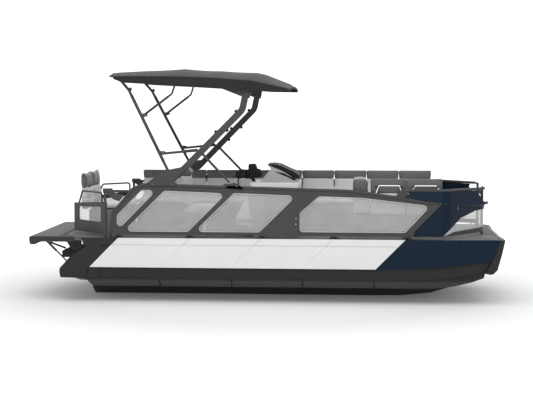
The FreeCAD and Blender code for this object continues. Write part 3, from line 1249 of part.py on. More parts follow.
# Tower: feet on the side rails, raked arms, rear posts and struts, all tipping aft as one
TOWER_LEAN = 6.8
TOWER_START = 995.0
TOWER_PIVOT_RISE = 157.5
TOWER_RISE = 1240.0
ARM_DEPTH = 92.0
ARM_WIDTH = 45.0
ARM_BEND = 160.0
WING_THICKNESS = 20.0
TOWER_PIN = 14.0
FORK_GAP = 17.0
GUSSET_THICKNESS = 8.0
GUSSET_DROP = 150.0
GUSSET_FOOT_DROP = 113.0
ROOF_RAIL_RADIUS = 22.0
POST_TUBE = 20.0
POST_BEND = 90.0
STRUT_TUBE = 14.0
CROSS_TUBE = 18.0
PROP_FOOT_ALONG = 739.0
PROP_FOOT_RISE = 72.0
BRACKET_LENGTH = 270.0
BRACKET_HEIGHT = 63.0
BRACKET_WALL = 22.0
# Along and up from the foot pin, in shares of the tower's rise
ARM_SHARES = ((0.0, 0.0), (0.74, 0.758), (0.795, 1.03))
WING_SHARES = ((0.42, 1.035), (0.748, 0.905), (0.823, 0.892), (0.848, 1.02))
REAR_POST_SHARES = ((0.0, 0.0), (-0.102, 0.016), (-0.589, 0.987), (-0.69, 1.105))
STRUT_A_SHARES = ((-0.43, 0.68), (-0.084, 0.944), (-0.044, 1.065))
STRUT_B_SHARES = ((-0.216, 0.244), (0.165, 0.283))
PROP_TOP_SHARES = (0.262, 0.266)
GUSSET_TOP_SHARES = ((-0.155, 0.054), (0.011, 0.086), (0.087, 0.074))
GUSSET_FOOT_SHARES = (-0.366, -0.053)
# The leaning rear post folds down past the inner cheek, so that cheek stops further forward
INNER_TOP_SHARES = ((-0.088, 0.054), (0.011, 0.086), (0.087, 0.074))
INNER_FOOT_SHARES = (-0.28, -0.053)
GUSSET_BASE_SHARES = (-0.323, -0.024)
ROOF_RAIL_SHARES = ((-0.71, 1.1), (1.105, 1.0025))

TOWER_X = FENCE_X + TOWER_START
TOWER_Z = rail_height_at(TOWER_X) + TOWER_PIVOT_RISE
PROP_FOOT_X = TOWER_X + PROP_FOOT_ALONG


def tower_spots(shares, y):
    """Points of the upright tower, given by shares of its rise from the foot pin."""
    return [V(x, y, z) for x, z in spots(TOWER_X, TOWER_Z, TOWER_RISE, TOWER_RISE, shares)]


def prop_foot():
    return V(PROP_FOOT_X, FENCE_Y, rail_height_at(PROP_FOOT_X) + PROP_FOOT_RISE)


def gusset_outline(foot_shares, top_shares):
    foot = TOWER_Z - GUSSET_FOOT_DROP - GUSSET_THICKNESS
    aft, front = [(TOWER_X + share * TOWER_RISE, foot) for share in foot_shares]
    return [aft] + spots(TOWER_X, TOWER_Z, TOWER_RISE, TOWER_RISE, top_shares) + [front]


def tower_gusset(side_rail):
    """Forked foot that stands on the side rail and holds the tower's pin."""
    half = ARM_WIDTH / 2 + FORK_GAP
    outer = half + GUSSET_THICKNESS
    outline = gusset_outline(GUSSET_FOOT_SHARES, GUSSET_TOP_SHARES)
    inner_outline = gusset_outline(INNER_FOOT_SHARES, INNER_TOP_SHARES)
    cheeks = [prism_xz(outline, FENCE_Y + half, FENCE_Y + outer),
              prism_xz(inner_outline, FENCE_Y - outer, FENCE_Y - half)]
    low, high = [TOWER_X + share * TOWER_RISE for share in GUSSET_BASE_SHARES]
    base = block(low, high, FENCE_Y - outer, FENCE_Y + outer,
                 TOWER_Z - GUSSET_DROP, TOWER_Z - GUSSET_FOOT_DROP)
    pin = Part.makeCylinder(TOWER_PIN, 2 * outer, V(TOWER_X, FENCE_Y - outer, TOWER_Z), V(0, 1, 0))
    return largest(base.fuse(cheeks + [pin]).cut(side_rail))


def leaned(shape):
    """The truss drawn upright, then leaned inboard about the foot pin's height."""
    copy = shape.copy()
    copy.rotate(V(TOWER_X, FENCE_Y, TOWER_Z), V(1, 0, 0), TOWER_LEAN)
    return copy


def tower_arm():
    """Flat bar bent at its head, with the eye for the pin and the wing plate below the roof."""
    pivot, head, top = tower_spots(ARM_SHARES, FENCE_Y)
    path = rounded_route([pivot, head, top], ARM_BEND)
    side = V(0, 1, 0)
    cross = (head - pivot).normalize().cross(side) * (ARM_DEPTH / 2)
    out = side * (ARM_WIDTH / 2)
    corners = [pivot + cross + out, pivot + cross - out, pivot - cross - out, pivot - cross + out]
    section = Part.makePolygon(corners + corners[:1])
    arm = path.makePipeShell([section], True, False)
    eye = Part.makeCylinder(ARM_DEPTH / 2, ARM_WIDTH, pivot - out, side)
    wing = prism_xz(spots(TOWER_X, TOWER_Z, TOWER_RISE, TOWER_RISE, WING_SHARES),
                    FENCE_Y - WING_THICKNESS / 2, FENCE_Y + WING_THICKNESS / 2)
    return arm.fuse([eye, wing]).removeSplitter()


def tower_pin_hole():
    return Part.makeCylinder(TOWER_PIN + RUNNING_GAP, 2 * ARM_WIDTH, V(TOWER_X, FENCE_Y - ARM_WIDTH, TOWER_Z),
                             V(0, 1, 0))


def roof_rail_y():
    return FENCE_Y - TOWER_RISE * math.tan(math.radians(TOWER_LEAN))


def roof_rail():
    start, end = tower_spots(ROOF_RAIL_SHARES, roof_rail_y())
    return rod(start, end, ROOF_RAIL_RADIUS)


def rear_post(arm):
    return tube(tower_spots(REAR_POST_SHARES, FENCE_Y), POST_TUBE, POST_BEND).cut(arm)


def tower_struts(solids):
    upper = tube(tower_spots(STRUT_A_SHARES, FENCE_Y), STRUT_TUBE, 3 * STRUT_TUBE)
    lower = rod(*tower_spots(STRUT_B_SHARES, FENCE_Y), STRUT_TUBE)
    prop = rod(tower_spots([PROP_TOP_SHARES], FENCE_Y)[0], prop_foot(), STRUT_TUBE)
    pieces = []
    for strut in (leaned(upper), leaned(lower), leaned(prop)):
        for solid in solids:
            strut = strut.cut(solid)
        pieces.append(largest(strut))
    return pieces


def prop_bracket(side_rail):
    """Foot on the side rail that the front prop is pinned to."""
    foot = prop_foot()
    low = foot.z - BRACKET_HEIGHT
    half = BRACKET_LENGTH / 2
    clear = STRUT_TUBE + MOVING_GAP
    outline = [(foot.x - half, low), (foot.x + half, low), (foot.x + half / 2, foot.z - clear),
               (foot.x - half / 2, foot.z - clear)]
    return largest(prism_xz(outline, FENCE_Y - BRACKET_WALL, FENCE_Y + BRACKET_WALL).cut(side_rail))


# Soft top over bows
ROOF_SIDE_REACH = 88.0
ROOF_SHELL = 14.0
ROOF_BOW_COUNT = 4
ROOF_AFT_REACH = 1210.0
ROOF_LENGTH = 2893.0
ROOF_REAR_BULGE = 222.0
ROOF_CORNER = 70.0
ROOF_LIFT = 300.0
# Along from the rear edge in roof lengths, then crest, side edge and hem in lifts above the rails
ROOF_SHARES = (
    (0.0, 0.76, 0.573, 0.533), (0.0767, 0.843, 0.577, 0.527), (0.1407, 0.873, 0.573, 0.283),
    (0.2949, 0.957, 0.563, 0.203), (0.4079, 1.007, 0.553, 0.15), (0.5517, 0.92, 0.513, 0.067),
    (0.7774, 0.823, 0.35, -0.067), (0.8265, 0.723, 0.25, -0.107), (0.953, 0.25, 0.0, -0.127),
    (1.0, -0.067, -0.09, -0.133))

ROOF_Y = roof_rail_y() + ROOF_SIDE_REACH
ROOF_X = TOWER_X - ROOF_AFT_REACH
ROOF_Z = TOWER_Z + TOWER_RISE


def roof_section(share, crest, edge, hem, drop):
    x = ROOF_X + share * ROOF_LENGTH
    y = ROOF_Y - drop
    low = ROOF_Z + hem * ROOF_LIFT
    if drop:
        low -= ROOF_LIFT
    side = ROOF_Z + edge * ROOF_LIFT - drop
    top = ROOF_Z + crest * ROOF_LIFT - drop
    edges = [Part.LineSegment(V(x, -y, low), V(x, -y, side)).toShape(),
             Part.Arc(V(x, -y, side), V(x, 0, top), V(x, y, side)).toShape(),
             Part.LineSegment(V(x, y, side), V(x, y, low)).toShape(),
             Part.LineSegment(V(x, y, low), V(x, -y, low)).toShape()]
    return Part.Wire(edges)


def crest_at(x):
    """Height and slope of the top's crest at x."""
    stations = spots(ROOF_X, ROOF_Z, ROOF_LENGTH, ROOF_LIFT, [shares[:2] for shares in ROOF_SHARES])
    height, slope = ROOF_Z, 0
    for (x_low, z_low), (x_high, z_high) in zip(stations, stations[1:]):
        if x_low <= x <= x_high:
            slope = (z_high - z_low) / (x_high - x_low)
            height = z_low + slope * (x - x_low)
    return height, slope


def roof_plan():
    """Outline of the top seen from above: bulged rear edge and rounded corners."""
    low, high = ROOF_Z - ROOF_LIFT, ROOF_Z + 2 * ROOF_LIFT
    corner_x = ROOF_X + ROOF_REAR_BULGE
    front_x = ROOF_X + ROOF_LENGTH
    edges = [Part.Arc(V(corner_x, ROOF_Y, low), V(ROOF_X, 0, low), V(corner_x, -ROOF_Y, low)).toShape(),
             Part.LineSegment(V(corner_x, -ROOF_Y, low), V(front_x, -ROOF_Y, low)).toShape(),
             Part.LineSegment(V(front_x, -ROOF_Y, low), V(front_x, ROOF_Y, low)).toShape(),
             Part.LineSegment(V(front_x, ROOF_Y, low), V(corner_x, ROOF_Y, low)).toShape()]
    plan = Part.Face(Part.Wire(edges)).extrude(V(0, 0, high - low))
    uprights = [edge for edge in plan.Edges if edge.Vertexes[0].X == edge.Vertexes[1].X
                and edge.Vertexes[0].Y == edge.Vertexes[1].Y]
    return plan.makeFillet(ROOF_CORNER, uprights)


def canopy():
    outer = Part.makeLoft([roof_section(*shares, 0) for shares in ROOF_SHARES], True, True)
    inner = Part.makeLoft([roof_section(*shares, ROOF_SHELL) for shares in ROOF_SHARES], True, True)
    return largest(outer.common(roof_plan()).cut(inner))


def roof_bow(place):
    """Bow between the roof rails, arched up to the underside of the top."""
    start, end = tower_spots(ROOF_RAIL_SHARES, roof_rail_y())
    left = start + (end - start) * place
    right = V(left.x, -left.y, left.z)
    height, slope = crest_at(left.x)
    crown = V(left.x, 0, height - ROOF_SHELL - (CROSS_TUBE + SEAT_GAP) * math.hypot(1, slope))
    path = Part.Wire([Part.Arc(right, crown, left).toShape()])
    start = path.Edges[0]
    section = Part.Wire(Part.makeCircle(CROSS_TUBE, right, start.tangentAt(start.FirstParameter)))
    return path.makePipeShell([section], True, False)


# Small fittings
GRAB_STARTS = (1066.0, 1582.0)
GRAB_LENGTH = 390.0
GRAB_RISE = 66.0
GRAB_RADIUS = 9.0
CLEAT_LENGTH = 160.0
CLEAT_START = 180.0
CLEAT_HEIGHT = 45.0
CLEAT_RADIUS = 9.0
CLEAT_INSET = 60.0


def grab_handle(start):
    """Bent rod that stands on the bow rail, or on the side rail aft of it."""
    x = CAP_AFT_X - start - GRAB_LENGTH / 2
    inset = GRAB_LENGTH / 8
    on_bow_rail = x > BOW_START_X - BOW_RUN / 8
    feet = [BOW_RAIL_Z if on_bow_rail else rail_height_at(end) for end in (x, x + GRAB_LENGTH)]
    high = BOW_RAIL_Z + GRAB_RISE
    return tube([V(x, FENCE_Y, feet[0]), V(x + inset, FENCE_Y, high),
                 V(x + GRAB_LENGTH - inset, FENCE_Y, high), V(x + GRAB_LENGTH, FENCE_Y, feet[1])],
                GRAB_RADIUS, 2 * GRAB_RADIUS)


def cleat():
    x = CAP_AFT_X - CLEAT_START
    y = HULL_SIDE - BOW_DRAW_WIDTH - CLEAT_INSET / 3
    bar = Part.makeCylinder(CLEAT_RADIUS, CLEAT_LENGTH, V(x - CLEAT_LENGTH / 2, y, DECK_BASE + CLEAT_HEIGHT),
                            V(1, 0, 0))
    legs = [Part.makeCylinder(CLEAT_RADIUS, CLEAT_HEIGHT, V(x + side * CLEAT_LENGTH / 5, y, DECK_TOP))
            for side in (1, -1)]
    return bar.fuse(legs)


def whole_boat():
    parts = {}
    port_pontoon = pontoon()
    parts["pontoon_port"] = port_pontoon
    parts["pontoon_starboard"] = mirrored(port_pontoon)
    parts["side_panels"] = both_sides(white_panel())
    parts["bow_panels"] = both_sides(navy_panel())
    parts["stern_quarters"] = both_sides(stern_quarter())
    parts["bow_trims"] = both_sides(bow_trim())
    parts["centre_hull"] = centre_hull()
    parts["stern_step"] = stern_step()
    parts["engine_block"] = engine_block()
    parts["jet_pump"] = jet_pump()
    parts["impeller"] = impeller()
    parts["steering_nozzle"] = steering_nozzle()
    parts["reverse_bucket"] = reverse_bucket()
    parts["cross_beams"] = cross_beams()
    parts["deck"] = deck()
    parts["deck_mat"] = deck_mat()
    parts["bow_cap"] = bow_cap()
    parts["swim_platform"] = swim_platform().fuse(ladder_ears())
    parts["platform_braces"] = both_sides(Part.makeCompound([platform_brace(port_pontoon), platform_mount()]))
    parts["boarding_ladder"] = boarding_ladder()
    rail = top_rail()
    plate = largest(fence().cut(rail))
    parts["fence_rails"] = both_sides(Part.makeCompound([rail, gate_post(rail)]))
    parts["fence_port"] = plate
    parts["fence_starboard"] = mirrored(plate)
    parts["fence_mesh"] = both_sides(fence_mesh())
    gate, gate_mesh = rear_gate_parts()
    parts["rear_gate_port"] = gate
    parts["rear_gate_mesh_port"] = gate_mesh
    parts["rear_gate_starboard"] = mirrored(gate)
    parts["rear_gate_mesh_starboard"] = mirrored(gate_mesh)
    parts["bow_sill"] = bow_sill(both_sides(rail))
    parts["bow_fence"] = bow_fence(parts["bow_sill"], both_sides(plate.fuse(rail)))
    parts["bow_windows"] = bow_window()
    parts["bow_rails"] = both_sides(bow_rail(rail))
    parts["bow_cowl"] = bow_cowl(parts["bow_sill"], Part.makeCompound([parts["bow_rails"], both_sides(rail)]))
    parts["bow_gate"], parts["bow_gate_mesh"] = bow_gate()
    parts["port_lounge_base"] = lounge_base(PORT_X, PORT_X + PORT_LENGTH, PORT_LID_COUNT)
    parts["port_lounge_backs"] = Part.makeCompound(back_cushions(PORT_X, PORT_MODULE_COUNT))
    lid_length = PORT_LENGTH / PORT_LID_COUNT
    for step, place in enumerate(("aft", "middle", "bow")):
        start = PORT_X + step * lid_length
        parts["port_seat_" + place] = seat_lid(start, start + lid_length)
    seat_x = CHAISE_X + CHAISE_BACK
    parts["starboard_lounge_base"] = mirrored(lounge_base(CHAISE_X, STARBOARD_X_END, 1))
    parts["starboard_lounge_backs"] = mirrored(Part.makeCompound(
        back_cushions(seat_x, STARBOARD_MODULE_COUNT) + [chaise_back()]))
    parts["starboard_seat"] = mirrored(seat_lid(seat_x, STARBOARD_X_END))
    parts["rear_bench_base"] = bench_base()
    parts["rear_bench_back"] = bench_back()
    parts["rear_bench_seat"] = bench_seat()
    parts["helm_console"] = console()
    parts["helm_hood"] = helm_hood()
    parts["handlebar"] = handlebar()
    parts["helm_pedestal"] = helm_pedestal()
    parts["helm_seat"] = helm_seat()
    upright_arm = tower_arm()
    arm = leaned(upright_arm).cut(tower_pin_hole())
    rail_tube = roof_rail()
    post = leaned(rear_post(upright_arm))
    struts = tower_struts([arm, post, rail_tube])
    parts["tower_feet"] = both_sides(Part.makeCompound([tower_gusset(rail), prop_bracket(rail)]))
    parts["tower_arms"] = both_sides(largest(arm.cut(rail_tube)))
    parts["tower_struts"] = both_sides(Part.makeCompound([largest(post.cut(rail_tube))] + struts))
    bows = [roof_bow((2 * step + 1) / (2 * ROOF_BOW_COUNT)) for step in range(ROOF_BOW_COUNT)]
    rails = both_sides(rail_tube)
    parts["roof_frame"] = Part.makeCompound(rails.Solids + [largest(bow.cut(rails)) for bow in bows])
    parts["soft_top"] = canopy()
    handles = Part.makeCompound([grab_handle(start) for start in GRAB_STARTS])
    handles = handles.cut(parts["bow_rails"]).cut(rail)
    parts["grab_handles"] = both_sides(Part.makeCompound([solid for solid in handles.Solids
                                                          if solid.Volume > GRAB_LENGTH]))
    parts["deck_cleats"] = both_sides(cleat())
    return parts


os.makedirs("parts", exist_ok=True)
PARTS = whole_boat()
for name, shape in PARTS.items():
    shape.exportStep("parts/" + name + ".step")
print(len(PARTS), "nodes")
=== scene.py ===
# Looks for the pontoon boat: materials, cushions, soft top, trim and the studio it stands in.
# Everything is in metres in the boat's own frame: X to the bow, Y to port, Z up.
import bmesh
import bpy
import json
import math
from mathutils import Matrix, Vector
from mathutils.bvhtree import BVHTree


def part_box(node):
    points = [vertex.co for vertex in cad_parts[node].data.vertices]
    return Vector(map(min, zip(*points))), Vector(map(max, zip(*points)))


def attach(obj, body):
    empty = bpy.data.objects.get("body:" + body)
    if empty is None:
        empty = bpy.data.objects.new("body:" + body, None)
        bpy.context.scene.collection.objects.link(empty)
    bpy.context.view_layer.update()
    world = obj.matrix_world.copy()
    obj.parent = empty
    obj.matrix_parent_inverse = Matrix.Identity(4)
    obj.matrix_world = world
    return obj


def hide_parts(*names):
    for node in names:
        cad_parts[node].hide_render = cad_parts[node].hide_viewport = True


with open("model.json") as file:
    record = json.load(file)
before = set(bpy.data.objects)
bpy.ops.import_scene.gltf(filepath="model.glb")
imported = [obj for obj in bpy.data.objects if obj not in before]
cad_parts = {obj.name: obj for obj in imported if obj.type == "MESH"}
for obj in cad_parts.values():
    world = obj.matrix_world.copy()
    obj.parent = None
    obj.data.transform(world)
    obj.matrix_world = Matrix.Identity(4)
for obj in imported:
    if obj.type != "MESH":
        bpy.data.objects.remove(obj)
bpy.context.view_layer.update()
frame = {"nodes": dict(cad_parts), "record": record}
NODES = frame["nodes"]
SIDES = (-1, 1)


# Shader helpers
def new_material(name):
    """Material with its node tree and its main shader."""
    material = bpy.data.materials.new(name)
    material.use_nodes = True
    tree = material.node_tree
    return material, tree, tree.nodes["Principled BSDF"]


def place_of(tree, scale=(1, 1, 1)):
    """Object coordinates, stretched by the scale."""
    coordinates = tree.nodes.new("ShaderNodeTexCoord")
    mapping = tree.nodes.new("ShaderNodeMapping")
    mapping.inputs["Scale"].default_value = scale
    tree.links.new(coordinates.outputs["Object"], mapping.inputs["Vector"])
    return mapping.outputs["Vector"]


def noise_of(tree, place, scale, detail=3.0):
    """Noise between 0 and 1 at the place."""
    noise = tree.nodes.new("ShaderNodeTexNoise")
    noise.inputs["Scale"].default_value = scale
    noise.inputs["Detail"].default_value = detail
    tree.links.new(place, noise.inputs["Vector"])
    return noise.outputs["Fac"]


def ramp_of(tree, value, stops):
    """Colour ramp over two or more stops, each (position, colour)."""
    ramp = tree.nodes.new("ShaderNodeValToRGB")
    elements = ramp.color_ramp.elements
    elements[0].position, elements[0].color = stops[0][0], (*stops[0][1], 1)
    elements[1].position, elements[1].color = stops[-1][0], (*stops[-1][1], 1)
    for position, color in stops[1:-1]:
        middle = elements.new(position)
        middle.color = (*color, 1)
    tree.links.new(value, ramp.inputs["Fac"])
    return ramp.outputs["Color"]


def shades(color, spread):
    """Darker and lighter neighbours of a colour."""
    low = tuple(channel * (1 - spread) for channel in color)
    high = tuple(min(1.0, channel * (1 + spread)) for channel in color)
    return low, high


def bump_of(tree, height, strength, distance):
    """Normal disturbed by the height."""
    bump = tree.nodes.new("ShaderNodeBump")
    bump.inputs["Strength"].default_value = strength
    bump.inputs["Distance"].default_value = distance
    tree.links.new(height, bump.inputs["Height"])
    return bump.outputs["Normal"]


def math_of(tree, operation, first, second, third=0.0):
    """Result of a math node, its inputs being numbers or sockets."""
    node = tree.nodes.new("ShaderNodeMath")
    node.operation = operation
    for socket, value in zip(node.inputs, (first, second, third)):
        if isinstance(value, (int, float)):
            socket.default_value = value
        else:
            tree.links.new(value, socket)
    return node.outputs["Value"]


def wave_of(tree, place, scale, direction):
    """Even bands across one direction."""
    wave = tree.nodes.new("ShaderNodeTexWave")
    wave.bands_direction = direction
    wave.inputs["Scale"].default_value = scale
    tree.links.new(place, wave.inputs["Vector"])
    return wave.outputs["Fac"]


def clouded(tree, shader, place, color, spread, scale, detail=3.0):
    """Gives the shader a base colour with slow clouds in it."""
    low, high = shades(color, spread)
    clouds = noise_of(tree, place, scale, detail)
    tree.links.new(ramp_of(tree, clouds, ((0.3, low), (0.7, high))), shader.inputs["Base Color"])


GLOSS_SWING = 0.16
GRAIN_DISTANCE = 0.0006


def speckled(name, color, roughness, spread=0.08, cloud=3.0, grain=350.0, bump=0.15, metallic=0.0, coat=0.0,
             specular=0.3):
    """Material with slow colour clouds, a fine grain and uneven gloss."""
    material, tree, shader = new_material(name)
    place = place_of(tree)
    clouded(tree, shader, place, color, spread, cloud)
    fine = noise_of(tree, place, grain, 2.0)
    tree.links.new(bump_of(tree, fine, bump, GRAIN_DISTANCE), shader.inputs["Normal"])
    uneven = noise_of(tree, place, cloud * 4)
    tree.links.new(math_of(tree, "MULTIPLY_ADD", uneven, GLOSS_SWING, roughness - GLOSS_SWING / 2),
                   shader.inputs["Roughness"])
    shader.inputs["Metallic"].default_value = metallic
    shader.inputs["Specular IOR Level"].default_value = specular
    shader.inputs["Coat Weight"].default_value = coat
    shader.inputs["Coat Roughness"].default_value = 0.08
    return material


# Heights of the band where the hull is painted paler, a painted reflection of the white floor, and the share
# of it mixed in
PAINTED_GLOW_BAND = (0.10, 0.16, 0.30, 0.36)
PAINTED_GLOW_SHARE = 0.6


def hull_shell(name, color, painted_glow_factor):
    """Dark hull moulding, made paler by that factor over a band of heights along its lower chine: a painted
    reflection of the white floor.
    """
    material = speckled(name, color, 0.5, grain=260.0, bump=0.15, specular=0.25)
    tree = material.node_tree
    shader = tree.nodes["Principled BSDF"]
    clouds = shader.inputs["Base Color"].links[0].from_socket
    height = tree.nodes.new("ShaderNodeSeparateXYZ")
    tree.links.new(place_of(tree), height.inputs["Vector"])
    lower = tuple(channel * painted_glow_factor for channel in color)
    stops = tuple(zip(PAINTED_GLOW_BAND, (color, lower, lower, color)))
    # Paler band along the lower chine: painted reflection of the white floor
    painted_glow = ramp_of(tree, height.outputs["Z"], stops)
    mix = tree.nodes.new("ShaderNodeMix")
    mix.data_type = "RGBA"
    mix.inputs["Factor"].default_value = PAINTED_GLOW_SHARE
    tree.links.new(clouds, mix.inputs["A"])
    tree.links.new(painted_glow, mix.inputs["B"])
    tree.links.new(mix.outputs["Result"], shader.inputs["Base Color"])
    return material


def vinyl(name, color):
    """Marine upholstery: pebbled grain with a soft sheen."""
    material, tree, shader = new_material(name)
    place = place_of(tree)
    clouded(tree, shader, place, color, 0.06, 5.0)
    pebbles = tree.nodes.new("ShaderNodeTexVoronoi")
    pebbles.inputs["Scale"].default_value = 420.0
    tree.links.new(place, pebbles.inputs["Vector"])
    tree.links.new(bump_of(tree, pebbles.outputs["Distance"], 0.25, 0.0008), shader.inputs["Normal"])
    shader.inputs["Roughness"].default_value = 0.52
    shader.inputs["Sheen Weight"].default_value = 0.12
    shader.inputs["Specular IOR Level"].default_value = 0.4
    return material


def canvas(name, color):
    """Woven acrylic canvas of the soft top."""
    material, tree, shader = new_material(name)
    place = place_of(tree)
    clouded(tree, shader, place, color, 0.12, 2.2, 4.0)
    warp = wave_of(tree, place, 260.0, "X")
    weft = wave_of(tree, place, 260.0, "Y")
    weave = math_of(tree, "MULTIPLY", warp, weft)
    tree.links.new(bump_of(tree, weave, 0.3, 0.0008), shader.inputs["Normal"])
    shader.inputs["Roughness"].default_value = 0.85
    shader.inputs["Sheen Weight"].default_value = 0.08
    shader.inputs["Specular IOR Level"].default_value = 0.2
    return material


def screen_cloth(name, color, cover):
    """Open-weave screen: threads over clear gaps."""
    material, tree, shader = new_material(name)
    place = place_of(tree)
    clouded(tree, shader, place, color, 0.06, 6.0)
    shader.inputs["Roughness"].default_value = 0.7
    warp = wave_of(tree, place, 110.0, "X")
    weft = wave_of(tree, place, 110.0, "Z")
    threads = math_of(tree, "MAXIMUM", warp, weft)
    tree.links.new(math_of(tree, "MULTIPLY_ADD", threads, 0.3, cover - 0.2), shader.inputs["Alpha"])
    tree.links.new(bump_of(tree, threads, 0.3, 0.0006), shader.inputs["Normal"])
    return material


def glazing(name, color, roughness, alpha):
    """Clear sheet with a few faint wiping marks."""
    material, tree, shader = new_material(name)
    place = place_of(tree)
    clouded(tree, shader, place, color, 0.03, 4.0)
    smears = noise_of(tree, place, 14.0)
    tree.links.new(math_of(tree, "MULTIPLY_ADD", smears, 0.1, roughness), shader.inputs["Roughness"])
    shader.inputs["Alpha"].default_value = alpha
    shader.inputs["Specular IOR Level"].default_value = 0.6
    return material


def grooved_mat(name, color, pitch, direction):
    """Foam decking with straight grooves."""
    material, tree, shader = new_material(name)
    place = place_of(tree)
    wave = wave_of(tree, place, math.pi / (10 * pitch), direction)
    lines = ramp_of(tree, wave, ((0.02, (0.0, 0.0, 0.0)), (0.1, (1.0, 1.0, 1.0))))
    low, high = shades(color, 0.1)
    clouds = ramp_of(tree, noise_of(tree, place, 7.0, 4.0), ((0.3, low), (0.7, high)))
    mix = tree.nodes.new("ShaderNodeMix")
    mix.data_type = "RGBA"
    mix.blend_type = "MULTIPLY"
    mix.inputs["Factor"].default_value = 0.55
    tree.links.new(clouds, mix.inputs["A"])
    tree.links.new(lines, mix.inputs["B"])
    tree.links.new(mix.outputs["Result"], shader.inputs["Base Color"])
    tree.links.new(bump_of(tree, lines, 0.6, 0.002), shader.inputs["Normal"])
    shader.inputs["Roughness"].default_value = 0.85
    return material


def brushed(name, color, roughness, scale):
    """Bare metal with streaks drawn out by the scale."""
    material, tree, shader = new_material(name)
    place = place_of(tree, scale)
    low, high = shades(color, 0.1)
    streaks = noise_of(tree, place, 60.0, 4.0)
    tree.links.new(ramp_of(tree, streaks, ((0.3, low), (0.7, high))), shader.inputs["Base Color"])
    tree.links.new(bump_of(tree, streaks, 0.2, 0.0004), shader.inputs["Normal"])
    shader.inputs["Metallic"].default_value = 1.0
    shader.inputs["Roughness"].default_value = roughness
    return material


# Materials by the record's slot
HULL_GREY = (0.017, 0.017, 0.0175)
FRAME_GREY = (0.048, 0.048, 0.049)
WHITE = (0.83, 0.83, 0.83)
NAVY = (0.0006, 0.0100, 0.0265)
SEAT_DARK = (0.100, 0.100, 0.100)
SEAT_LIGHT = (0.68, 0.68, 0.68)
MESH_GREY = (0.66, 0.66, 0.65)

LOOKS = {
    # The hull's band along the lower chine is painted 4.5 times paler, a painted reflection of the white
    # floor
    "hull": hull_shell("moulded_hull", HULL_GREY, 4.5),
    "white_panel": speckled("white_gelcoat", WHITE, 0.30, spread=0.015, grain=30.0, bump=0.01, coat=0.3),
    "navy_panel": speckled("navy_gelcoat", NAVY, 0.34, spread=0.10, grain=30.0, bump=0.01, coat=0.04,
                           specular=0.12),
    "dark_plastic": speckled("dark_moulding", (0.040, 0.040, 0.041), 0.66, grain=300.0, bump=0.25,
                             specular=0.22),
    "frame": speckled("powder_coat", FRAME_GREY, 0.50, grain=300.0, bump=0.12, metallic=0.1),
    "mesh": screen_cloth("screen", MESH_GREY, 0.36),
    "deck": speckled("deck_board", (0.12, 0.12, 0.12), 0.7),
    "deck_mat": grooved_mat("deck_foam", (0.17, 0.17, 0.17), 0.06, "Y"),
    "aluminium": brushed("brushed_aluminium", (0.62, 0.62, 0.63), 0.32, (1, 8, 8)),
    "jet": speckled("cast_alloy", (0.32, 0.32, 0.33), 0.45, grain=320.0, bump=0.4, metallic=0.9),
    "impeller": brushed("polished_steel", (0.6, 0.6, 0.6), 0.18, (8, 1, 1)),
    "engine": speckled("engine_paint", (0.03, 0.03, 0.03), 0.6, grain=200.0, bump=0.5),
    "seat": vinyl("light_vinyl", SEAT_LIGHT),
    "base": speckled("seat_base", (0.30, 0.30, 0.30), 0.5, grain=300.0),
    "glazing": glazing("clear_acrylic", (0.85, 0.86, 0.87), 0.04, 0.34),
    "console": speckled("console_grey", (0.36, 0.36, 0.36), 0.42, spread=0.05, grain=300.0, bump=0.1,
                        coat=0.2),
    "black": speckled("black_rubber", (0.010, 0.010, 0.010), 0.68, grain=400.0, bump=0.3, specular=0.15),
    "canvas": canvas("top_canvas", (0.042, 0.042, 0.043)),
}
DARK_VINYL = vinyl("dark_vinyl", SEAT_DARK)
PALE_WELT = speckled("pale_welt", (0.62, 0.62, 0.61), 0.55, spread=0.05, grain=400.0)
# Darker copy of the top canvas for its upright side bands: painted shade
SHADED_BAND_CANVAS = canvas("band_canvas_painted_shade", (0.026, 0.026, 0.027))
ACCENT_WHITE = speckled("accent_white", (0.95, 0.95, 0.95), 0.4, spread=0.01, grain=30.0, bump=0.01)
# Grey of the painted shade line along the crease of the side panels
CREASE_SHADE = speckled("crease_shadow", (0.60, 0.60, 0.60), 0.6, spread=0.03)
HULL_SEAM = speckled("hull_seam", (0.006, 0.006, 0.006), 0.8, specular=0.1)
BAND_GREY = speckled("band_grey", (0.86, 0.86, 0.86), 0.45, spread=0.04, grain=200.0, bump=0.05)
SCREW_STEEL = brushed("screw_steel", (0.22, 0.22, 0.23), 0.45, (4, 4, 4))
LAMP_LENS = speckled("lamp_lens", (0.72, 0.66, 0.30), 0.25, spread=0.06, cloud=20.0, grain=200.0, coat=0.6)
SEAM_GREY = speckled("seam_shadow", (0.30, 0.30, 0.30), 0.7, spread=0.05)


def dress(piece, material):
    """Gives the piece this material alone."""
    piece.data.materials.clear()
    piece.data.materials.append(material)


for subpart in frame["record"]["subparts"]:
    dress(NODES[subpart["node"]], LOOKS[subpart["material_slot"]])


# Mesh helpers
def add_mesh(name, mesh, slot_name, body, material=None, smooth=True):
    """Links a finished bmesh as a piece with its material, the look of its slot unless one is given, and its
    body.
    """
    data = bpy.data.meshes.new(name)
    mesh.to_mesh(data)
    mesh.free()
    piece = bpy.data.objects.new(name, data)
    bpy.context.scene.collection.objects.link(piece)
    for polygon in data.polygons:
        polygon.use_smooth = smooth
    data.materials.append(material or LOOKS[slot_name])
    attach(piece, body)
    return piece


def prism(points, low, high, axis, mesh=None):
    """Closed prism with an outline in the plane across the axis."""
    mesh = mesh or bmesh.new()

    def at(u, w, along):
        return {"X": (along, u, w), "Y": (u, along, w), "Z": (u, w, along)}[axis]

    first = [mesh.verts.new(at(u, w, low)) for u, w in points]
    second = [mesh.verts.new(at(u, w, high)) for u, w in points]
    mesh.faces.new(first)
    mesh.faces.new(list(reversed(second)))
    for i in range(len(points)):
        j = (i + 1) % len(points)
        mesh.faces.new((first[i], second[i], second[j], first[j]))
    bmesh.ops.recalc_face_normals(mesh, faces=mesh.faces)
    return mesh


ROUND_STEPS = 5


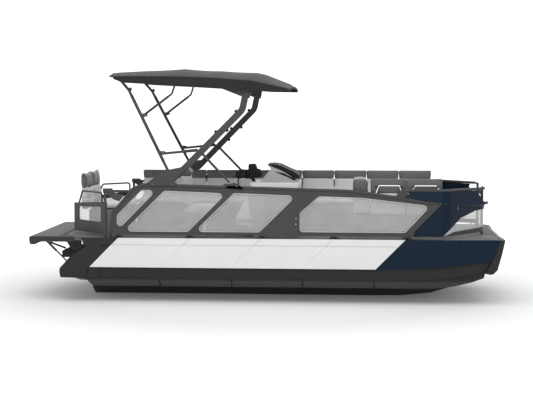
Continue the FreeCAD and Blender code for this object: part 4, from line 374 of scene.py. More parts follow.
def rounded(points, radius):
    """Outline with its corners rounded."""
    result = []
    count = len(points)
    for i in range(count):
        corner = Vector(points[i])
        back = Vector(points[i - 1]) - corner
        ahead = Vector(points[(i + 1) % count]) - corner
        reach = min(radius, back.length / 2.2, ahead.length / 2.2)
        start, end = corner + back.normalized() * reach, corner + ahead.normalized() * reach
        for step in range(ROUND_STEPS + 1):
            t = step / ROUND_STEPS
            result.append(tuple(start * (1 - t) ** 2 + corner * 2 * t * (1 - t) + end * t * t))
    return result


BEVEL_SEGMENTS = 3


def bevelled(piece, width):
    """Softens the sharp edges of a piece."""
    bevel = piece.modifiers.new("Bevel", "BEVEL")
    bevel.width = width
    bevel.segments = BEVEL_SEGMENTS
    bevel.limit_method = "ANGLE"
    return piece


def moulding(name, parts, slot_name, body, width, material=None):
    """Piece of one or more prisms, each (outline, low, high, axis), with softened edges."""
    mesh = bmesh.new()
    for outline, low, high, axis in parts:
        prism(outline, low, high, axis, mesh)
    return bevelled(add_mesh(name, mesh, slot_name, body, material, smooth=False), width)


TURN_SIDES = 16


def turned(mesh, profile, place, direction):
    """Adds a turned solid: radii and heights along the direction."""
    turn = Vector((0, 0, 1)).rotation_difference(Vector(direction))
    rings = []
    for radius, height in profile:
        ring = []
        for step in range(TURN_SIDES):
            angle = 2 * math.pi * step / TURN_SIDES
            point = Vector((radius * math.cos(angle), radius * math.sin(angle), height))
            ring.append(mesh.verts.new(Vector(place) + turn @ point))
        rings.append(ring)
    mesh.faces.new(list(reversed(rings[0])))
    mesh.faces.new(rings[-1])
    for lower, upper in zip(rings, rings[1:]):
        for i in range(TURN_SIDES):
            j = (i + 1) % TURN_SIDES
            mesh.faces.new((lower[i], lower[j], upper[j], upper[i]))


# Shares of a fastener's radius and height, from its seat to the bottom of its socket
SCREW_SHARES = ((1.0, -0.2), (1.0, 0.45), (0.86, 0.85), (0.5, 1.0), (0.42, 1.0), (0.36, 0.6))
KNOB_SHARES = ((0.9, -0.3), (0.9, 0.25), (1.0, 0.4), (1.0, 0.7), (0.85, 0.92), (0.5, 1.0))


def fasteners(name, places, radius, height, slot_name, body, material=None, shares=SCREW_SHARES):
    """Screw heads or knobs in one mesh, each place being (point, direction)."""
    mesh = bmesh.new()
    profile = [(radius * wide, height * up) for wide, up in shares]
    for place, direction in places:
        turned(mesh, profile, place, direction)
    return add_mesh(name, mesh, slot_name, body, material)


def rods(name, spans, radius, slot_name, body):
    """Straight round bars in one mesh, each span being (start, end)."""
    mesh = bmesh.new()
    for start, end in spans:
        run = Vector(end) - Vector(start)
        profile = [(radius * 0.8, 0.0), (radius, radius * 0.3), (radius, run.length - radius * 0.3),
                   (radius * 0.8, run.length)]
        turned(mesh, profile, start, run)
    return add_mesh(name, mesh, slot_name, body)


def tube(name, routes, radius, slot_name, body, closed=False, material=None, order=2):
    """Round bar, welt or rod along one or more routes."""
    data = bpy.data.curves.new(name, "CURVE")
    data.dimensions = "3D"
    data.bevel_depth = radius
    data.bevel_resolution = 3
    data.use_fill_caps = True
    for route in routes:
        spline = data.splines.new("NURBS")
        spline.points.add(len(route) - 1)
        for point, co in zip(spline.points, route):
            point.co = (*co, 1)
        spline.order_u = order
        spline.use_endpoint_u = not closed
        spline.use_cyclic_u = closed
        spline.resolution_u = 1 if order == 2 else 6
    curve = bpy.data.objects.new(name + "_curve", data)
    bpy.context.scene.collection.objects.link(curve)
    solid = bpy.data.meshes.new_from_object(curve.evaluated_get(bpy.context.evaluated_depsgraph_get()))
    bpy.data.objects.remove(curve)
    mesh = bmesh.new()
    mesh.from_mesh(solid)
    bpy.data.meshes.remove(solid)
    bmesh.ops.remove_doubles(mesh, verts=mesh.verts, dist=1e-6)
    return add_mesh(name, mesh, slot_name, body, material)


def opening_edges(node, side, plane):
    """Closed outlines of the openings in the outer face of an upright plate, read from its mesh."""
    mesh = bmesh.new()
    mesh.from_mesh(NODES[node].data)
    bmesh.ops.remove_doubles(mesh, verts=mesh.verts, dist=1e-5)
    links = {}
    for edge in mesh.edges:
        if any(abs(vertex.co.y - plane) > 1e-4 for vertex in edge.verts) or len(edge.link_faces) != 2:
            continue
        flat = [face.normal.y * side > 0.99 for face in edge.link_faces]
        if flat[0] != flat[1]:
            a, b = (tuple(round(value, 6) for value in vertex.co) for vertex in edge.verts)
            links.setdefault(a, []).append(b)
            links.setdefault(b, []).append(a)
    mesh.free()
    loops = []
    while links:
        here = min(links)
        loop = [here]
        while True:
            ahead = [point for point in links.pop(here) if point in links]
            if not ahead:
                break
            here = min(ahead)
            loop.append(here)
        loops.append(loop)
    spans = [max(p[0] for p in loop) - min(p[0] for p in loop) for loop in loops]
    return [loop for loop, span in zip(loops, spans) if len(loop) > 4 and span < max(spans)]


# Cushions
PADDING_VOXEL = 0.018
FINE_VOXEL = 0.014
SWELL_PRESSURE = 4.0
SWELL_FRAMES = 20
SOFTEN_ROUNDS = 5
SHRINK_SHARE = 0.6
SEAM_WIDTH = 0.007
SEAM_DEPTH = 0.010


def swell(piece, voxel, cap):
    """Remeshes a plain cushion and lets cloth under pressure crown it, moved by the cap at most."""
    bpy.context.view_layer.objects.active = piece
    piece.select_set(True)
    piece.data.remesh_voxel_size = voxel
    bpy.ops.object.voxel_remesh()
    start = [vertex.co.copy() for vertex in piece.data.vertices]
    cloth = piece.modifiers.new("Swell", "CLOTH")
    cloth.settings.use_pressure = True
    cloth.settings.uniform_pressure_force = SWELL_PRESSURE
    cloth.settings.effector_weights.gravity = 0
    scene = bpy.context.scene
    for step in range(1, SWELL_FRAMES + 1):
        scene.frame_set(step)
    shaped = piece.evaluated_get(bpy.context.evaluated_depsgraph_get()).data
    moved = [vertex.co.copy() for vertex in shaped.vertices]
    piece.modifiers.remove(cloth)
    scene.frame_set(1)
    for vertex, before, after in zip(piece.data.vertices, start, moved):
        shift = after - before
        if shift.length > cap:
            shift *= cap / shift.length
        vertex.co = before + shift
    piece.select_set(False)


def fit_to(piece, low, high):
    """Stretches a swollen cushion back to the box that it was cut for."""
    mesh = piece.data
    for axis in range(3):
        values = [vertex.co[axis] for vertex in mesh.vertices]
        start, end = min(values), max(values)
        scale = (high[axis] - low[axis]) / (end - start)
        for vertex in mesh.vertices:
            vertex.co[axis] = low[axis] + (vertex.co[axis] - start) * scale


def soften(piece):
    """Evens out the wrinkles that the limit of the swell leaves."""
    mesh = bmesh.new()
    mesh.from_mesh(piece.data)
    for _ in range(SOFTEN_ROUNDS):
        bmesh.ops.smooth_vert(mesh, verts=mesh.verts, factor=0.5, use_axis_x=True, use_axis_y=True,
                              use_axis_z=True)
    mesh.to_mesh(piece.data)
    mesh.free()


def shrink_in(mesh, gap):
    """Moves every vertex in along its normal, to leave room for the swell."""
    mesh.normal_update()
    moves = [(vertex, vertex.normal * gap) for vertex in mesh.verts]
    for vertex, move in moves:
        vertex.co -= move * vertex.calc_shell_factor()


def sew(piece, planes):
    """Presses sewn channels into a cushion where it crosses the planes, each (point, normal)."""
    mesh = piece.data
    normals = [vertex.normal.copy() for vertex in mesh.vertices]
    for point, normal in planes:
        for vertex, out in zip(mesh.vertices, normals):
            distance = (vertex.co - point).dot(normal)
            if abs(distance) < 3 * SEAM_WIDTH:
                flat = out - normal * out.dot(normal)
                vertex.co -= flat * SEAM_DEPTH * math.exp(-(distance / SEAM_WIDTH) ** 2)


def cushion(name, mesh, body, node, cap, voxel=PADDING_VOXEL, split_height=None, seams=()):
    """Padded piece from a plain prism: swollen, smoothed, sewn, dark above the split height."""
    corners = [vertex.co for vertex in mesh.verts]
    low, high = [[bound(corner[axis] for corner in corners) for axis in range(3)] for bound in (min, max)]
    shrink_in(mesh, cap * SHRINK_SHARE)
    piece = add_mesh(name, mesh, "seat", body)
    swell(piece, voxel, cap)
    soften(piece)
    fit_to(piece, low, high)
    smooth = piece.modifiers.new("Smooth", "SUBSURF")
    smooth.levels = smooth.render_levels = 1
    bpy.context.view_layer.objects.active = piece
    bpy.ops.object.modifier_apply(modifier=smooth.name)
    sew(piece, seams)
    if split_height is not None:
        piece.data.materials.append(DARK_VINYL)
        for polygon in piece.data.polygons:
            polygon.material_index = int(polygon.center.z > split_height)
    for polygon in piece.data.polygons:
        polygon.use_smooth = True
    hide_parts(node)
    return piece


def repeat(piece, name, shift, node):
    """Copy of a cushion further along, on the same body."""
    copy = piece.copy()
    copy.name = name
    bpy.context.scene.collection.objects.link(copy)
    copy.location = copy.location + Vector(shift)
    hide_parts(node)
    return copy


def level(height):
    """Seam plane at a height."""
    return Vector((0, 0, height)), Vector((0, 0, 1))


# How far each kind of cushion may swell
BACK_CAP = 0.016
SEAT_CAP = 0.020
BENCH_CAP = 0.018
HEADREST_CAP = 0.022
HELM_CAP = 0.018
HELM_HEAD_CAP = 0.012
ROLL_CAP = 0.010
PORT_SPLIT_HEIGHT = 1.672
STARBOARD_SPLIT_HEIGHT = 1.600
BACK_DEPTH = 0.15
BACK_SHOULDER = 0.07
BACK_FOOT = 0.095
# Gaps between neighbours in a row; below zero they press on each other at the corners
PORT_BACK_GAP = -0.006
STARBOARD_BACK_GAP = -0.008


def back_row(prefix, node, start, end, count, side, split, gap):
    """Row of like back cushions with a dark upper band."""
    low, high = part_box(node)
    pitch = (end - start) / count
    wall = max(abs(low.y), abs(high.y))
    face = wall - BACK_DEPTH
    section = [(side * wall, low.z), (side * wall, high.z), (side * (face + BACK_SHOULDER), high.z),
               (side * face, low.z + BACK_FOOT), (side * face, low.z)]
    mesh = prism(section, start + gap / 2, start + pitch - gap / 2, "X")
    first = cushion(prefix + "_1", mesh, "root", node, BACK_CAP, split_height=split, seams=[level(split)])
    for step in range(1, count):
        repeat(first, f"{prefix}_{step + 1}", (step * pitch, 0, 0), node)


PORT_BACK_COUNT = 9
port_low, port_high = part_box("port_lounge_backs")
back_row("port_back", "port_lounge_backs", port_low.x, port_high.x, PORT_BACK_COUNT, 1,
         PORT_SPLIT_HEIGHT, PORT_BACK_GAP)
seat_low, seat_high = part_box("starboard_seat")
back_row("starboard_back", "starboard_lounge_backs", seat_low.x, seat_high.x, 2, -1,
         STARBOARD_SPLIT_HEIGHT, STARBOARD_BACK_GAP)

# Dark board that closes the seams between the starboard backs
low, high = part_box("starboard_lounge_backs")
start, end = seat_low.x + 0.02, seat_high.x - 0.02
outer, inner = low.y + 0.020, low.y + 0.050
board = [(start, outer), (end, outer), (end, inner), (start, inner)]
moulding("starboard_back_board", [(board, low.z + 0.02, high.z - 0.03, "Z")], "seat", "root", 0.004,
         DARK_VINYL)

# Chaise back with its head roll, an oval in section
chaise = [(low.x, low.z), (low.x, high.z), (low.x + 0.19, high.z), (low.x + 0.24, low.z)]
cushion("chaise_back", prism(chaise, low.y + 0.004, high.y, "Y"), "root", "starboard_lounge_backs", BACK_CAP,
        split_height=STARBOARD_SPLIT_HEIGHT, seams=[level(STARBOARD_SPLIT_HEIGHT)])
ROLL_SIDES = 12
roll = []
for step in range(ROLL_SIDES):
    angle = step * math.pi / (ROLL_SIDES / 2)
    roll.append((low.x + 0.125 + 0.095 * math.cos(angle), high.z - 0.075 + 0.065 * math.sin(angle)))
head_roll = cushion("chaise_headroll", prism(roll, low.y + 0.02, high.y - 0.02, "Y"), "root",
                    "starboard_lounge_backs", ROLL_CAP, voxel=FINE_VOXEL)
dress(head_roll, DARK_VINYL)


def seat_pad(name, node, body, count):
    """Lid seat sewn into a number of like cushions."""
    low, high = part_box(node)
    points = [(low.x, low.y), (high.x, low.y), (high.x, high.y), (low.x, high.y)]
    length = high.x - low.x
    seams = [(Vector((low.x + length * step / count, 0, 0)), Vector((1, 0, 0))) for step in range(1, count)]
    cushion(name, prism(points, low.z + 0.001, high.z, "Z"), body, node, SEAT_CAP, seams=seams)


for node, body, count in (("port_seat_aft", "lid_port_aft", 3), ("port_seat_middle", "lid_port_middle", 3),
                          ("port_seat_bow", "lid_port_bow", 3), ("starboard_seat", "lid_starboard", 2),
                          ("rear_bench_seat", "lid_bench", 1)):
    seat_pad(node + "_pad", node, body, count)

# Stern bench: two ribbed backs with dark headrests
low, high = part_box("rear_bench_back")
depth = high.x - low.x
shoulder = high.z - 0.21
half = (high.y - low.y) / 2
lower = [(high.x, low.z + 0.35), (low.x, low.z + 0.35), (low.x, shoulder), (high.x - depth * 0.25, shoulder),
         (high.x, low.z + 0.445)]
top = [(low.x, shoulder - 0.020), (low.x, high.z), (high.x - depth / 2, high.z),
       (high.x - depth * 0.25, shoulder - 0.020)]
for step, side in enumerate(SIDES):
    edge = sorted((side * 0.003, side * half))
    ribs = [level(low.z + height) for height in (0.52, 0.60)]
    cushion(f"bench_back_{step + 1}", prism(lower, *edge, "Y"), "root", "rear_bench_back", BENCH_CAP,
            seams=ribs)
    head = cushion(f"bench_headrest_{step + 1}", prism(top, *edge, "Y"), "root", "rear_bench_back",
                   HEADREST_CAP)
    dress(head, DARK_VINYL)

# Helm seat
low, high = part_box("helm_seat")
base_top = low.z + 0.12
helm_base = [(low.x + 0.05, low.z), (high.x, low.z), (high.x, base_top), (low.x + 0.15, base_top)]
cushion("helm_seat_pad", prism(helm_base, low.y, high.y, "Y"), "helm_chair", "helm_seat", HELM_CAP)
helm_back = [(low.x + 0.05, base_top + 0.003), (low.x + 0.15, base_top + 0.003), (low.x + 0.10, high.z),
             (low.x, high.z)]
cushion("helm_seat_back", prism(helm_back, low.y, high.y, "Y"), "helm_chair", "helm_seat", HELM_CAP,
        split_height=high.z - 0.12, seams=[level(high.z - 0.12), level(high.z - 0.34)])

helm_roll = [(-1.236, 1.795), (-1.222, 1.905), (-1.165, 1.926), (-1.092, 1.872), (-1.105, 1.795)]
helm_head = cushion("helm_headrest", prism(helm_roll, low.y + 0.07, high.y - 0.07, "Y"), "helm_chair",
                    "helm_seat", HELM_HEAD_CAP, voxel=FINE_VOXEL)
dress(helm_head, DARK_VINYL)


# Soft top: one curved sheet over the bows
ROOF_LOW, ROOF_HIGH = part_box("soft_top")
ROOF_LENGTH = ROOF_HIGH.x - ROOF_LOW.x
ROOF_HALF = ROOF_HIGH.y
# The skin stops short of the node's box at both ends and is rounded there
ROOF_NOSE_TRIM = 0.070
ROOF_REAR_TRIM = 0.045
ROOF_BULGE = 0.222
ROOF_ROUND = 0.070
ROOF_DROP = 0.050
ROOF_CORNER = 0.07
ROOF_BASE = 3.0899
ROOF_LIFT = 0.300
# Share of the length, then crest, side edge and hem in shares of the lift
TOP_SHARES = ((0, 0.76, 0.573, 0.533), (0.0767, 0.843, 0.577, 0.527), (0.1407, 0.873, 0.573, 0.283),
              (0.2949, 0.957, 0.563, 0.203), (0.4079, 1.007, 0.553, 0.15), (0.5517, 0.92, 0.513, 0.067),
              (0.7774, 0.823, 0.35, -0.067), (0.8265, 0.723, 0.25, -0.107), (0.953, 0.25, 0, -0.127),
              (1, -0.067, -0.09, -0.133))
CROWN_POWER = 2.2
BOW_SHARES = (0.211, 0.406, 0.600, 0.795)
BOW_SAG = 0.007
TOP_ALONG = 96
TOP_ACROSS = 36
BAND_ROWS = 6
CANVAS_THICKNESS = 0.003


def top_heights(share):
    """Crest, edge and hem heights at a share of the length."""
    for before, after in zip(TOP_SHARES, TOP_SHARES[1:]):
        if share <= after[0]:
            t = max(0.0, (share - before[0]) / (after[0] - before[0]))
            return [ROOF_BASE + ROOF_LIFT * (a + (b - a) * t) for a, b in zip(before[1:], after[1:])]
    return [ROOF_BASE + ROOF_LIFT * value for value in TOP_SHARES[-1][1:]]


def top_half_width(share):
    """Half width in plan, drawn in round the front corners."""
    inset = ROOF_LENGTH * (1 - share) - ROOF_NOSE_TRIM
    if inset >= ROOF_CORNER:
        return ROOF_HALF
    return ROOF_HALF - ROOF_CORNER + math.sqrt(max(0.0, ROOF_CORNER ** 2 - (ROOF_CORNER - inset) ** 2))


def top_point(along, across):
    """Point of the upper skin: along is 0 to 1, across is -1 to 1 from edge to edge."""
    rear = (ROOF_REAR_TRIM + ROOF_BULGE * across * across) / ROOF_LENGTH
    front = 1 - ROOF_NOSE_TRIM / ROOF_LENGTH
    share = rear + (front - rear) * along
    crest, edge, hem = top_heights(share)
    y = across * top_half_width(share)
    sag = 0.0
    for start, end in zip(BOW_SHARES, BOW_SHARES[1:]):
        if start < share < end:
            sag = BOW_SAG * math.sin(math.pi * (share - start) / (end - start)) * (1 - across * across)
    crown = 1 - abs(across) ** CROWN_POWER
    z = edge + (crest - edge) * crown - sag
    inset = ROOF_LENGTH * (share - rear)
    if inset < ROOF_ROUND:
        z -= ROOF_DROP * (1 - inset / ROOF_ROUND) ** 2 * crown
    return Vector((ROOF_LOW.x + ROOF_LENGTH * share, y, z)), hem


def soft_top():
    """Sheet of canvas: the upper skin with its side bands, given its thickness; the side bands take a darker
    copy of the canvas, painted shade.
    """
    mesh = bmesh.new()
    grid = []
    for i in range(TOP_ALONG + 1):
        # Rows lie closer together toward both ends
        along = (1 - math.cos(math.pi * i / TOP_ALONG)) / 2
        row = [top_point(along, 2 * j / TOP_ACROSS - 1) for j in range(TOP_ACROSS + 1)]
        left, right = row[0], row[-1]
        line = []
        for k in range(BAND_ROWS, 0, -1):
            drop = (left[0].z - left[1]) * k / BAND_ROWS
            line.append(left[0] - Vector((0, 0, drop)))
        line += [point for point, hem in row]
        for k in range(1, BAND_ROWS + 1):
            drop = (right[0].z - right[1]) * k / BAND_ROWS
            line.append(right[0] - Vector((0, 0, drop)))
        grid.append([mesh.verts.new(point) for point in line])
    for first, second in zip(grid, grid[1:]):
        for j in range(len(first) - 1):
            mesh.faces.new((first[j], second[j], second[j + 1], first[j + 1]))
    bmesh.ops.recalc_face_normals(mesh, faces=mesh.faces)
    piece = add_mesh("top_sheet", mesh, "canvas", "tower")
    # Faces of the upright side bands take the darker canvas: painted shade
    piece.data.materials.append(SHADED_BAND_CANVAS)
    for polygon in piece.data.polygons:
        polygon.material_index = int(abs(polygon.normal.y) > 0.9)
    thick = piece.modifiers.new("Thickness", "SOLIDIFY")
    thick.thickness = CANVAS_THICKNESS
    thick.offset = -1.0
    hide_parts("soft_top")
    return piece


PIPING_STEPS = 40
END_STEPS = 30
SEAM_DROP = Vector((0, 0, -0.001))


def seam_route(side):
    """Route along the seam at the side of the top, just below its skin."""
    return [top_point(step / PIPING_STEPS, side)[0] + SEAM_DROP for step in range(PIPING_STEPS + 1)]


def hem_route(side):
    """Route along the hem of a side band."""
    route = []
    for step in range(PIPING_STEPS + 1):
        point, hem = top_point(step / PIPING_STEPS, side)
        route.append(Vector((point.x, point.y, hem)))
    return route


def end_route(along):
    """Route across the rear or front end of the top."""
    return [top_point(along, 1 - step / (END_STEPS / 2))[0] for step in range(END_STEPS + 1)]


top_sheet = soft_top()
seam_piping = tube("top_seams", [seam_route(side) for side in SIDES], 0.0045, "canvas", "tower")
hem_piping = tube("top_hems", [hem_route(side) for side in SIDES], 0.005, "canvas", "tower")
end_piping = tube("top_ends", [end_route(along) for along in (0, 1)], 0.006, "canvas", "tower")

# Fences: pale welts round the windows, foot pads, screws
FENCE_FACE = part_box("fence_port")[1].y
for side, node, word in ((-1, "fence_starboard", "starboard"), (1, "fence_port", "port")):
    loops = [[(x, y + side * 0.001, z) for x, y, z in loop]
             for loop in opening_edges(node, side, side * FENCE_FACE)]
    tube(f"window_welts_{word}", loops, 0.0045, "mesh", "root", closed=True, material=PALE_WELT)

FOOT_X = (-2.093, -1.051, -0.004, 1.035, 2.058)
FOOT_PROUD = 0.022
FOOT_TOP = 0.034
DECK_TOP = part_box("deck_mat")[1].z
feet = []
foot_screws = []
for side in SIDES:
    for x in FOOT_X:
        outline = [(x - 0.075, DECK_TOP), (x - 0.045, DECK_TOP + FOOT_TOP), (x + 0.045, DECK_TOP + FOOT_TOP),
                   (x + 0.075, DECK_TOP)]
        face = side * (FENCE_FACE + FOOT_PROUD)
        feet.append((outline, *sorted((side * FENCE_FACE, face)), "Y"))
        for shift in (-0.032, 0.032):
            foot_screws.append(((x + shift, face, DECK_TOP + 0.015), (0, side, 0)))
moulding("fence_feet", feet, "black", "root", 0.004)
fasteners("fence_foot_screws", foot_screws, 0.007, 0.005, "aluminium", "root", SCREW_STEEL)


# Side panels: hairline joints, a painted shade line along the crease at the top and the bright edge beside
# the navy
SIDE_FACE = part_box("side_panels")[1].y
PANEL_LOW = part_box("side_panels")[0].z
PANEL_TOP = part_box("side_panels")[1].z


def side_strip(start, end, width, proud, side):
    """Thin strip on the hull side between two points, each (x, z)."""
    run = (Vector(end) - Vector(start)).normalized()
    out = Vector((-run.y, run.x)) * width / 2
    corners = [Vector(start) + out, Vector(end) + out, Vector(end) - out, Vector(start) - out]
    span = sorted((side * (SIDE_FACE - 0.004), side * (SIDE_FACE + proud)))
    return [tuple(corner) for corner in corners], *span, "Y"


seams = []
edges = []
for side in SIDES:
    for x in (-1.48, -0.45, 0.58):
        seams.append(side_strip((x, PANEL_LOW + 0.004), (x + 0.42, PANEL_TOP - 0.004), 0.0022, 0.0004, side))
    edges.append(side_strip((1.609, PANEL_LOW + 0.002), (2.026, PANEL_TOP - 0.002), 0.008, 0.0015, side))
moulding("panel_seams", seams, "white_panel", "root", 0.0001, SEAM_GREY)
moulding("panel_edges", edges, "white_panel", "root", 0.0005)
# Grey strip along the crease at the top of the panels: painted shade of its step
crease_shade_strips = [side_strip((-2.180, 0.843), (1.905, 0.843), 0.0035, 0.0004, side) for side in SIDES]
moulding("panel_crease_shades", crease_shade_strips, "white_panel", "root", 0.0001, CREASE_SHADE)

# Console: pale band, accent and stripe on both faces, hood visor and slots
low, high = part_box("helm_console")
BAND_LOW = 1.640
BAND_PROUD = 0.004
band_ends = (low.x + 0.20, high.x + BAND_PROUD)
band_sides = (low.y - BAND_PROUD, high.y + BAND_PROUD)
band = rounded([(band_ends[0], band_sides[0]), (band_ends[1], band_sides[0]), (band_ends[1], band_sides[1]),
                (band_ends[0], band_sides[1])], 0.03)
moulding("console_band", [(band, BAND_LOW, high.z + 0.022, "Z")], "console", "root", 0.006, BAND_GREY)
accent = rounded([(-0.236, 1.542), (-0.398, 1.250), (-0.398, 1.206), (-0.152, 1.206), (-0.202, 1.245)], 0.01)
stripe = [(-0.362, 1.112), (-0.376, 1.145), (-0.152, 1.145), (-0.152, 1.112)]
marks = []
for plane, side in ((low.y, -1), (high.y, 1)):
    span = sorted((plane - side * 0.004, plane + side * 0.002))
    marks += [(accent, *span, "Y"), (stripe, *span, "Y")]
moulding("console_accents", marks, "console", "root", 0.001, ACCENT_WHITE)

low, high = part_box("helm_hood")
visor = [(0.045, 1.992), (0.130, 1.994), (0.204, 1.988), (0.340, 1.925), (0.440, 1.882), (0.499, 1.838),
         (0.512, 1.785), (0.431, 1.785), (0.330, 1.860), (0.227, 1.915), (0.120, 1.955)]
moulding("hood_visor", [(visor, low.y - 0.006, high.y + 0.006, "Y")], "black", "root", 0.002)
slot_outline = [(0.148, 1.886), (0.200, 1.880), (0.284, 1.864), (0.480, 1.762), (0.431, 1.760),
                (0.330, 1.812)]
slots = [(slot_outline, *sorted((plane, plane + side * 0.005)), "Y")
         for plane, side in ((low.y, -1), (high.y, 1))]
moulding("hood_slots", slots, "black", "root", 0.001)

# Handlebar: display, cover, grips and levers
low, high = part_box("handlebar")
middle = (low.y + high.y) / 2
bar_z = high.z - 0.06
display = rounded([(-0.252, 1.900), (-0.247, 1.984), (-0.150, 1.986), (-0.122, 1.905)], 0.012)
moulding("handlebar_display", [(display, middle - 0.075, middle + 0.075, "Y")], "black", "handlebar", 0.006)
cover = rounded([(-0.310, 1.775), (-0.310, 1.885), (-0.225, 1.915), (-0.095, 1.912), (-0.045, 1.865),
                 (-0.065, 1.800), (-0.200, 1.768)], 0.02)
moulding("handlebar_cover", [(cover, middle - 0.09, middle + 0.09, "Y")], "black", "handlebar", 0.012)
grip = rounded([(-0.440, 1.800), (-0.425, 1.872), (-0.385, 1.905), (-0.300, 1.890), (-0.290, 1.810),
                (-0.360, 1.775)], 0.012)
grip_spans = ((middle - 0.16, middle - 0.10), (middle + 0.10, middle + 0.16))
moulding("handlebar_grip", [(grip, *span, "Y") for span in grip_spans], "black", "handlebar", 0.010)
levers = [[(-0.180, middle + side * 0.13, bar_z - 0.01), (-0.150, middle + side * 0.20, bar_z - 0.015),
           (-0.200, middle + side * 0.30, bar_z - 0.03)] for side in SIDES]
tube("handlebar_levers", levers, 0.006, "black", "handlebar", order=3)

# Tower: knobs on the arms, clevises and sleeves on the posts, struts and props, ears and bolts of the feet
TOWER_X, TOWER_Z, TOWER_RISE = -1.220, 1.8499, 1.240
TOWER_PLANE = 1.190
LEAN = math.radians(6.8)


def tower_point(x, z, side):
    """Point of the leaned truss at the upright truss's (x, z)."""
    rise = z - TOWER_Z
    y = TOWER_PLANE - rise * math.sin(LEAN)
    return Vector((x, side * y, TOWER_Z + rise * math.cos(LEAN)))


def truss_point(along, up, side):
    """Point of the leaned truss from its shares of the rise."""
    return tower_point(TOWER_X + along * TOWER_RISE, TOWER_Z + up * TOWER_RISE, side)


def truss_rods(name, routes, radius):
    """Bars on both sides of the tower, each route being two points in shares of the rise."""
    spans = [[truss_point(*point, side) for point in route] for side in SIDES for route in routes]
    rods(name, spans, radius, "frame", "tower")


ARM_RUN = Vector((0.74, 0, 0.758)).normalized()
ARM_ACROSS = Vector((-ARM_RUN.z, 0, ARM_RUN.x))
KNOB_REACH = 0.95
KNOB_OFFSET = 0.045
studs = []
for side in SIDES:
    for along, across in ((0.865, 1), (1.300, 1), (0.70, -1), (1.00, -1)):
        place = ARM_RUN * along * KNOB_REACH + ARM_ACROSS * across * KNOB_OFFSET
        point = tower_point(TOWER_X + place.x, TOWER_Z + place.z, side)
        studs.append((point, tuple(ARM_ACROSS * across)))
fasteners("tower_knobs", studs, 0.024, 0.026, "black", "tower", shares=KNOB_SHARES)

clevises = []
clevis_bolts = []
for side in SIDES:
    for x, z in ((-0.43, 0.68), (-0.216, 0.244)):
        centre = Vector((TOWER_X + x * TOWER_RISE + 0.030, TOWER_Z + z * TOWER_RISE + 0.012))
        at = tower_point(centre.x, centre.y, side)
        outline = rounded([(at.x - 0.045, at.z - 0.035), (at.x - 0.055, at.z + 0.030),
                           (at.x + 0.045, at.z + 0.028), (at.x + 0.050, at.z - 0.006)], 0.014)
        clevises.append((outline, at.y - 0.026, at.y + 0.026, "Y"))
        clevis_bolts.append(((at.x + 0.018, at.y + side * 0.026, at.z + 0.008), (0, side, 0)))
moulding("tower_clevises", clevises, "frame", "tower", 0.006)
fasteners("clevis_bolts", clevis_bolts, 0.010, 0.008, "aluminium", "tower", SCREW_STEEL)

truss_rods("strut_collars", [((0.060, 0.273), (0.225, 0.289))], 0.022)
truss_rods("strut_sleeves", [((-0.405, 0.699), (-0.12, 0.916)), ((-0.196, 0.246), (0.090, 0.275))], 0.0175)
truss_rods("post_sleeves", [((-0.170, 0.152), (-0.560, 0.930))], 0.0235)
truss_rods("prop_sleeves", [((0.279, 0.248), (0.546, -0.032))], 0.0185)
clamps = [[tower_point(x, z, side) for x, z in ((-1.956, 3.080), (-1.912, 3.094))] for side in SIDES]
rods("post_clamps", clamps, 0.025, "frame", "tower")

ears = []
ear = [(-0.543, 1.666), (-0.485, 1.724), (-0.413, 1.746), (-0.341, 1.724), (-0.269, 1.646)]
ear_foot = [ear[0], (-0.500, 1.700), (-0.320, 1.700), ear[4]]
for side in SIDES:
    ears.append((ear, *sorted((side * 1.228, side * 1.235)), "Y"))
    ears.append((ear_foot, *sorted((side * 1.205, side * 1.235)), "Y"))
moulding("prop_ears", ears, "frame", "root", 0.002)


def both_sides(spots, y):
    """Fastener places at (x, z) spots on both sides, facing outboard."""
    return [((x, side * y, z), (0, side, 0)) for side in SIDES for x, z in spots]


foot_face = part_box("tower_feet")[1].y
foot_bolts = both_sides(((-1.585, 1.716), (-1.290, 1.716), (-0.555, 1.690), (-0.370, 1.690)), foot_face)
fasteners("tower_foot_bolts", foot_bolts, 0.009, 0.007, "aluminium", "root", SCREW_STEEL)

# Screws, snaps and bolts of the fences, the navy bow and the grab handles, and dull cleats
navy_screws = both_sides(((2.600, 1.455), (2.770, 1.420), (2.770, 1.385), (3.100, 1.360)), FENCE_FACE)
fasteners("navy_screws", navy_screws, 0.008, 0.006, "aluminium", "root", SCREW_STEEL)
window_snaps = both_sides(((0.474, 1.232), (0.474, 1.150)), FENCE_FACE)
fasteners("window_snaps", window_snaps, 0.008, 0.006, "mesh", "root", PALE_WELT)
GRAB_HEIGHT = 1.692
grab_bolts = both_sides([(x, GRAB_HEIGHT) for x in (1.612, 1.976, 2.143, 2.480)], TOWER_PLANE)
fasteners("grab_bolts", grab_bolts, 0.015, 0.020, "black", "root", shares=KNOB_SHARES)
bracket_bolts = both_sides(((1.905, 1.575), (2.060, 1.650)), FENCE_FACE)
fasteners("bracket_bolts", bracket_bolts, 0.010, 0.007, "aluminium", "root", SCREW_STEEL)
dress(NODES["deck_cleats"], SCREW_STEEL)

# Stays under the swim platform
stays = [[(-3.136, side * 1.05, 0.850), (-2.900, side * 1.05, 0.764)] for side in SIDES]
rods("platform_stays", stays, 0.014, "black", "root")

# Platform mat and the recessed grip in the stern quarter
low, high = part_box("swim_platform")
MAT_EDGE = 0.06
MAT_END = -2.99
start, right, left = low.x + MAT_EDGE, low.y + MAT_EDGE, high.y - MAT_EDGE
mat = rounded([(start, right), (MAT_END, right), (MAT_END, left), (start, left)], MAT_EDGE)
platform_mat = moulding("platform_mat", [(mat, high.z - 0.002, high.z + 0.005, "Z")], "deck_mat", "root",
                        0.002)
dress(platform_mat, grooved_mat("platform_foam", (0.165, 0.165, 0.165), 0.055, "Y"))

